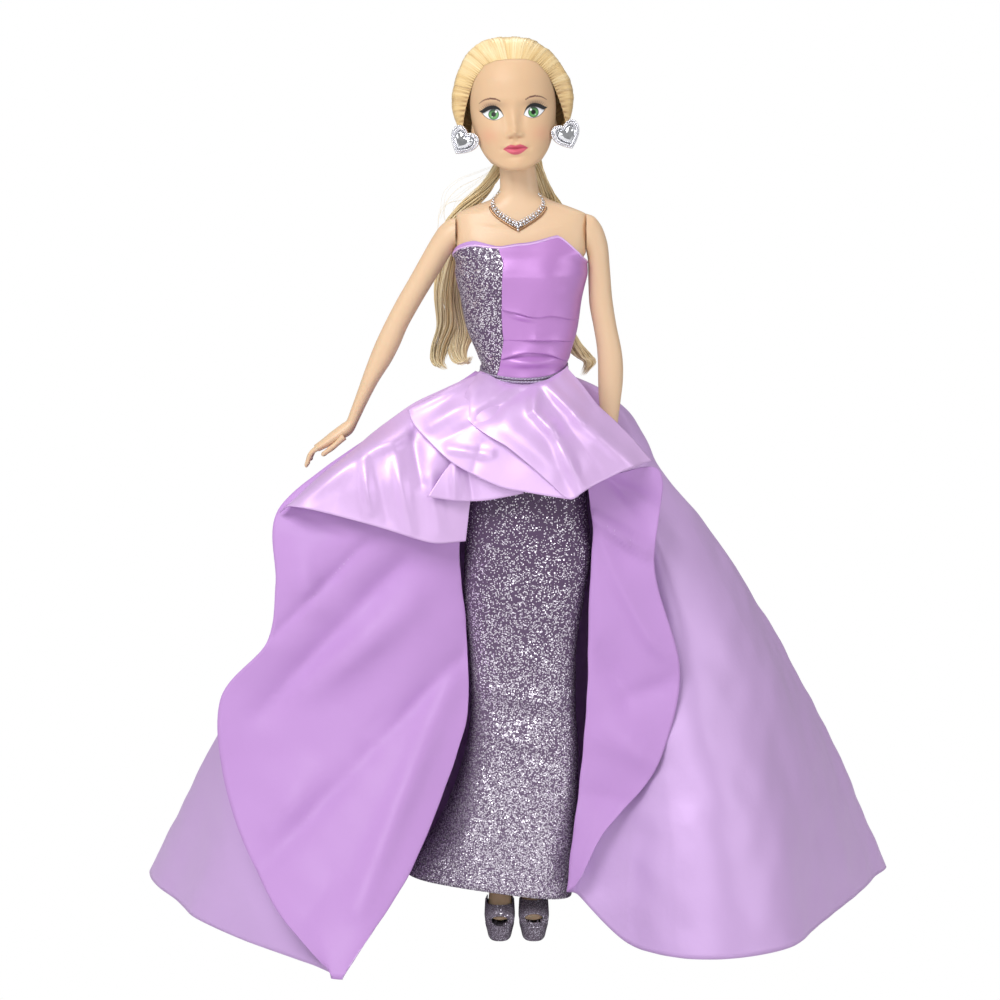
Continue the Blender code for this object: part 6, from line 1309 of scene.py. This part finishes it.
# Each piece: name, node, ribs, rows, columns, seed and height of its ripple, and its creases
FRONT = [
    ("front_upper_satin", "front_drape", UPPER, 70, 170, 21, 1.0,
     [(4.5, 189, 3.9, 182, 2.2, 2.2), (3.9, 182.5, 11, 175.5, 2.0, 2.8), (10, 177, 19.7, 157, 2.2, 3.0),
      (3, 189.5, -15.5, 178, 2.4, -4.2), (-5, 189, -15, 182.5, 1.8, 1.0), (7.4, 191, 20, 179, 1.8, 2.2),
      (18, 180, 37, 164, 2.4, 2.4), (10, 184, 26, 162, 2.0, -1.8), (-6, 178, 12, 164, 3.5, 1.0),
      (15, 193, 24, 183, 1.4, -1.2), (17, 194, 27, 181, 1.2, 0.8)]),
    ("front_band_satin", "front_drape", BAND, 70, 150, 22, 0.7,
     [(-20, 190, -36, 182, 1.8, 1.4), (-24, 170, -10, 168, 1.6, 1.2), (-15, 178, -27, 172, 1.8, -1.6),
      (-16, 186, -30, 177, 2.2, 1.2), (-13, 172, -16, 162, 1.8, -1.2)]),
    ("side_drape_satin", "left_drape", SIDE, 90, 150, 23, 1.0,
     [(-52.5, 168, -37.6, 174, 2.4, 2.6), (-52, 166, -50, 149, 1.7, 2.2), (-42, 170, -36.7, 142, 2.0, 1.8),
      (-54, 168, -72, 153, 3.0, 1.8), (-36, 174, -33, 158, 2.0, -3.0), (-47, 160, -44, 146, 1.8, -1.4),
      (-45, 178, -78, 151, 1.8, -1.8), (-58, 160, -62, 148, 2.2, -1.2), (-30, 160, -27, 142, 2.2, 1.0)]),
    ("side_flap_satin", "side_flap", FLAP, 50, 60, 24, 0.4,
     [(-22, 166, -22, 153, 1.4, 1.2), (-18, 165, -16, 153, 1.6, -1.6)]),
]
for name, node, ribs, rows, columns, seed, height, lines in FRONT:
    grid = crease(ribbed(rounded(ribs), rows, columns), lines)
    grid = ripple(grid, normals(grid), seed, height * 0.7, 17)
    cloth_piece(name, grid, [LINING, SATIN_PAINTED_LIGHTER], "satin", node, thickness=0.35, held="gathered")

# %% [markdown]
# ## The glitter skirt
# A tube of rings from the waist to a slanting hem. Each ring is a squarish ellipse. Shallow creases cross the knee.

# %% Skirt
SKIRT = [
    (194.0, 0.2, 13.4, 10.3, 10.2), (183.3, 0.4, 15.8, 12.5, 12.5), (170.7, 0.6, 19.1, 14.4, 15.4),
    (157.1, 1.0, 20.2, 15.4, 16.6), (143.6, 1.6, 20.7, 15.8, 16.6), (131.9, 2.3, 21.1, 15.8, 16.0),
    (116.4, 1.0, 20.2, 15.4, 15.4), (97.0, 0.6, 18.0, 14.4, 14.1), (77.6, 0.8, 17.8, 14.4, 14.1),
    (60.1, 0.0, 19.7, 14.9, 14.4), (38.8, -4.2, 22.9, 15.7, 16.3), (16.5, -11.0, 28.3, 17.0, 18.9),
]
table = smooth(SKIRT, 150)
turn = full_turn(160)
share = table[:, 0:1] / 194.0
depth = np.where(np.sin(turn) > 0, table[:, 4:5], table[:, 3:4])
square = np.where(np.sin(turn) < 0, 0.62, 0.85)
x = table[:, 1:2] + table[:, 2:3] * signed_power(np.cos(turn), square)
y = depth * signed_power(np.sin(turn), square) + 0.96 * (1 - share)
z = table[:, 0:1] - 3.0 * (x / 20.5) * np.clip((0.3 - share) / 0.2, 0, 1)
z = z - 4.7 * np.clip(-np.sin(turn), 0, 1) * np.clip((share - 0.9) / 0.1, 0, 1)
skirt = crease(np.stack([x, y, z], axis=-1),
               [(-14, 88, 10, 82, 2.0, 1.5), (-12, 80, 12, 76, 1.8, -1.6), (-10, 72, 14, 66, 2.0, 1.4),
                (-12, 55, -20, 30, 3.0, 1.4), (6, 60, 10, 25, 3.4, 1.2), (-4, 100, 8, 96, 2.0, 0.9)])
skirt = ripple(skirt, normals(skirt, True), 5, 0.5, 22)
skirt_piece = sheet("skirt_glitter", skirt[::-1], [GLITTER], 0.4, True)
finished(skirt_piece, "glitter_cloth", "torso", "skirt_front", "skirt_back")
hem_line = (skirt + normals(skirt, True) * 0.3)[-3]
dashes = smooth(np.concatenate([hem_line, hem_line[:1]]), 900).reshape(150, 6, 3)[:, :4]
hem = tubes("skirt_hem_stitches", dashes, np.full(dashes.shape[:2], 0.11), [CORD], 5)
finished(hem, "glitter_cloth", "torso")

# %% [markdown]
# ## Camera, light and room
# The camera stands where the photograph's proportions put it: nearly a metre away, a little above the waist,
# looking down eight degrees. Large soft lights stand in front, above and at both sides. The floor and the room
# are plain white to the camera.

# %% Camera and lights
camera = bpy.data.objects.new("camera", bpy.data.cameras.new("camera"))
camera.data.lens = 101.4
camera.data.sensor_width = 36.0
camera.location = (-0.0077, -0.9627, 0.2820)
camera.rotation_euler = (math.radians(82), 0.0, 0.0)
bpy.context.scene.collection.objects.link(camera)
bpy.context.scene.camera = camera


def softbox(name, place, size, power, aim=(0, 0, 0.16)):
    """A square area light that faces a point."""
    light = bpy.data.lights.new(name, "AREA")
    light.size = size
    light.energy = power
    made = bpy.data.objects.new(name, light)
    made.location = place
    step = np.array(aim) - np.array(place)
    made.rotation_euler = (math.acos(-step[2] / np.linalg.norm(step)), 0.0, math.atan2(-step[0], step[1]))
    bpy.context.scene.collection.objects.link(made)


softbox("key", (-0.35, -0.75, 0.85), 0.45, 6.8)
softbox("front", (0.05, -1.15, 0.34), 0.30, 1.3)
softbox("fill_left", (-0.95, -0.45, 0.35), 0.5, 1.2)
softbox("fill_right", (0.95, -0.45, 0.40), 0.5, 1.8)
softbox("top", (0.0, 0.25, 1.1), 0.6, 3.4)


def to_camera_white(tree, other, output):
    """Light rays see one shader, and the camera sees plain white."""
    path, mix = node_of(tree, "LightPath"), node_of(tree, "MixShader")
    white = node_of(tree, "Background" if output.bl_idname == "ShaderNodeOutputWorld" else "Emission",
                    Color=(1, 1, 1, 1), Strength=1.0)
    wire(tree, (path, "Is Camera Ray", mix, 0), (other, 0, mix, 1), (white, 0, mix, 2), (mix, 0, output, "Surface"))


world = bpy.data.worlds.new("room")
world.use_nodes = True
bpy.context.scene.world = world
ground_light = world.node_tree.nodes["Background"]
ground_light.inputs["Color"].default_value = (1, 1, 1, 1)
ground_light.inputs["Strength"].default_value = 0.31
to_camera_white(world.node_tree, ground_light, world.node_tree.nodes["World Output"])
floor_paint = principled("floor_white", (0.8, 0.8, 0.8), 0.9)
paint_nodes = floor_paint.node_tree.nodes
to_camera_white(floor_paint.node_tree, paint_nodes["Principled BSDF"], paint_nodes["Material Output"])
corners = np.array([(-6, -6, -0.0005), (6, -6, -0.0005), (6, 6, -0.0005), (-6, 6, -0.0005)])
floor = mesh_from("floor", corners, np.array([[0, 1, 2, 3]]), [floor_paint], scaled=True)
bpy.context.scene.view_settings.view_transform = "Standard"
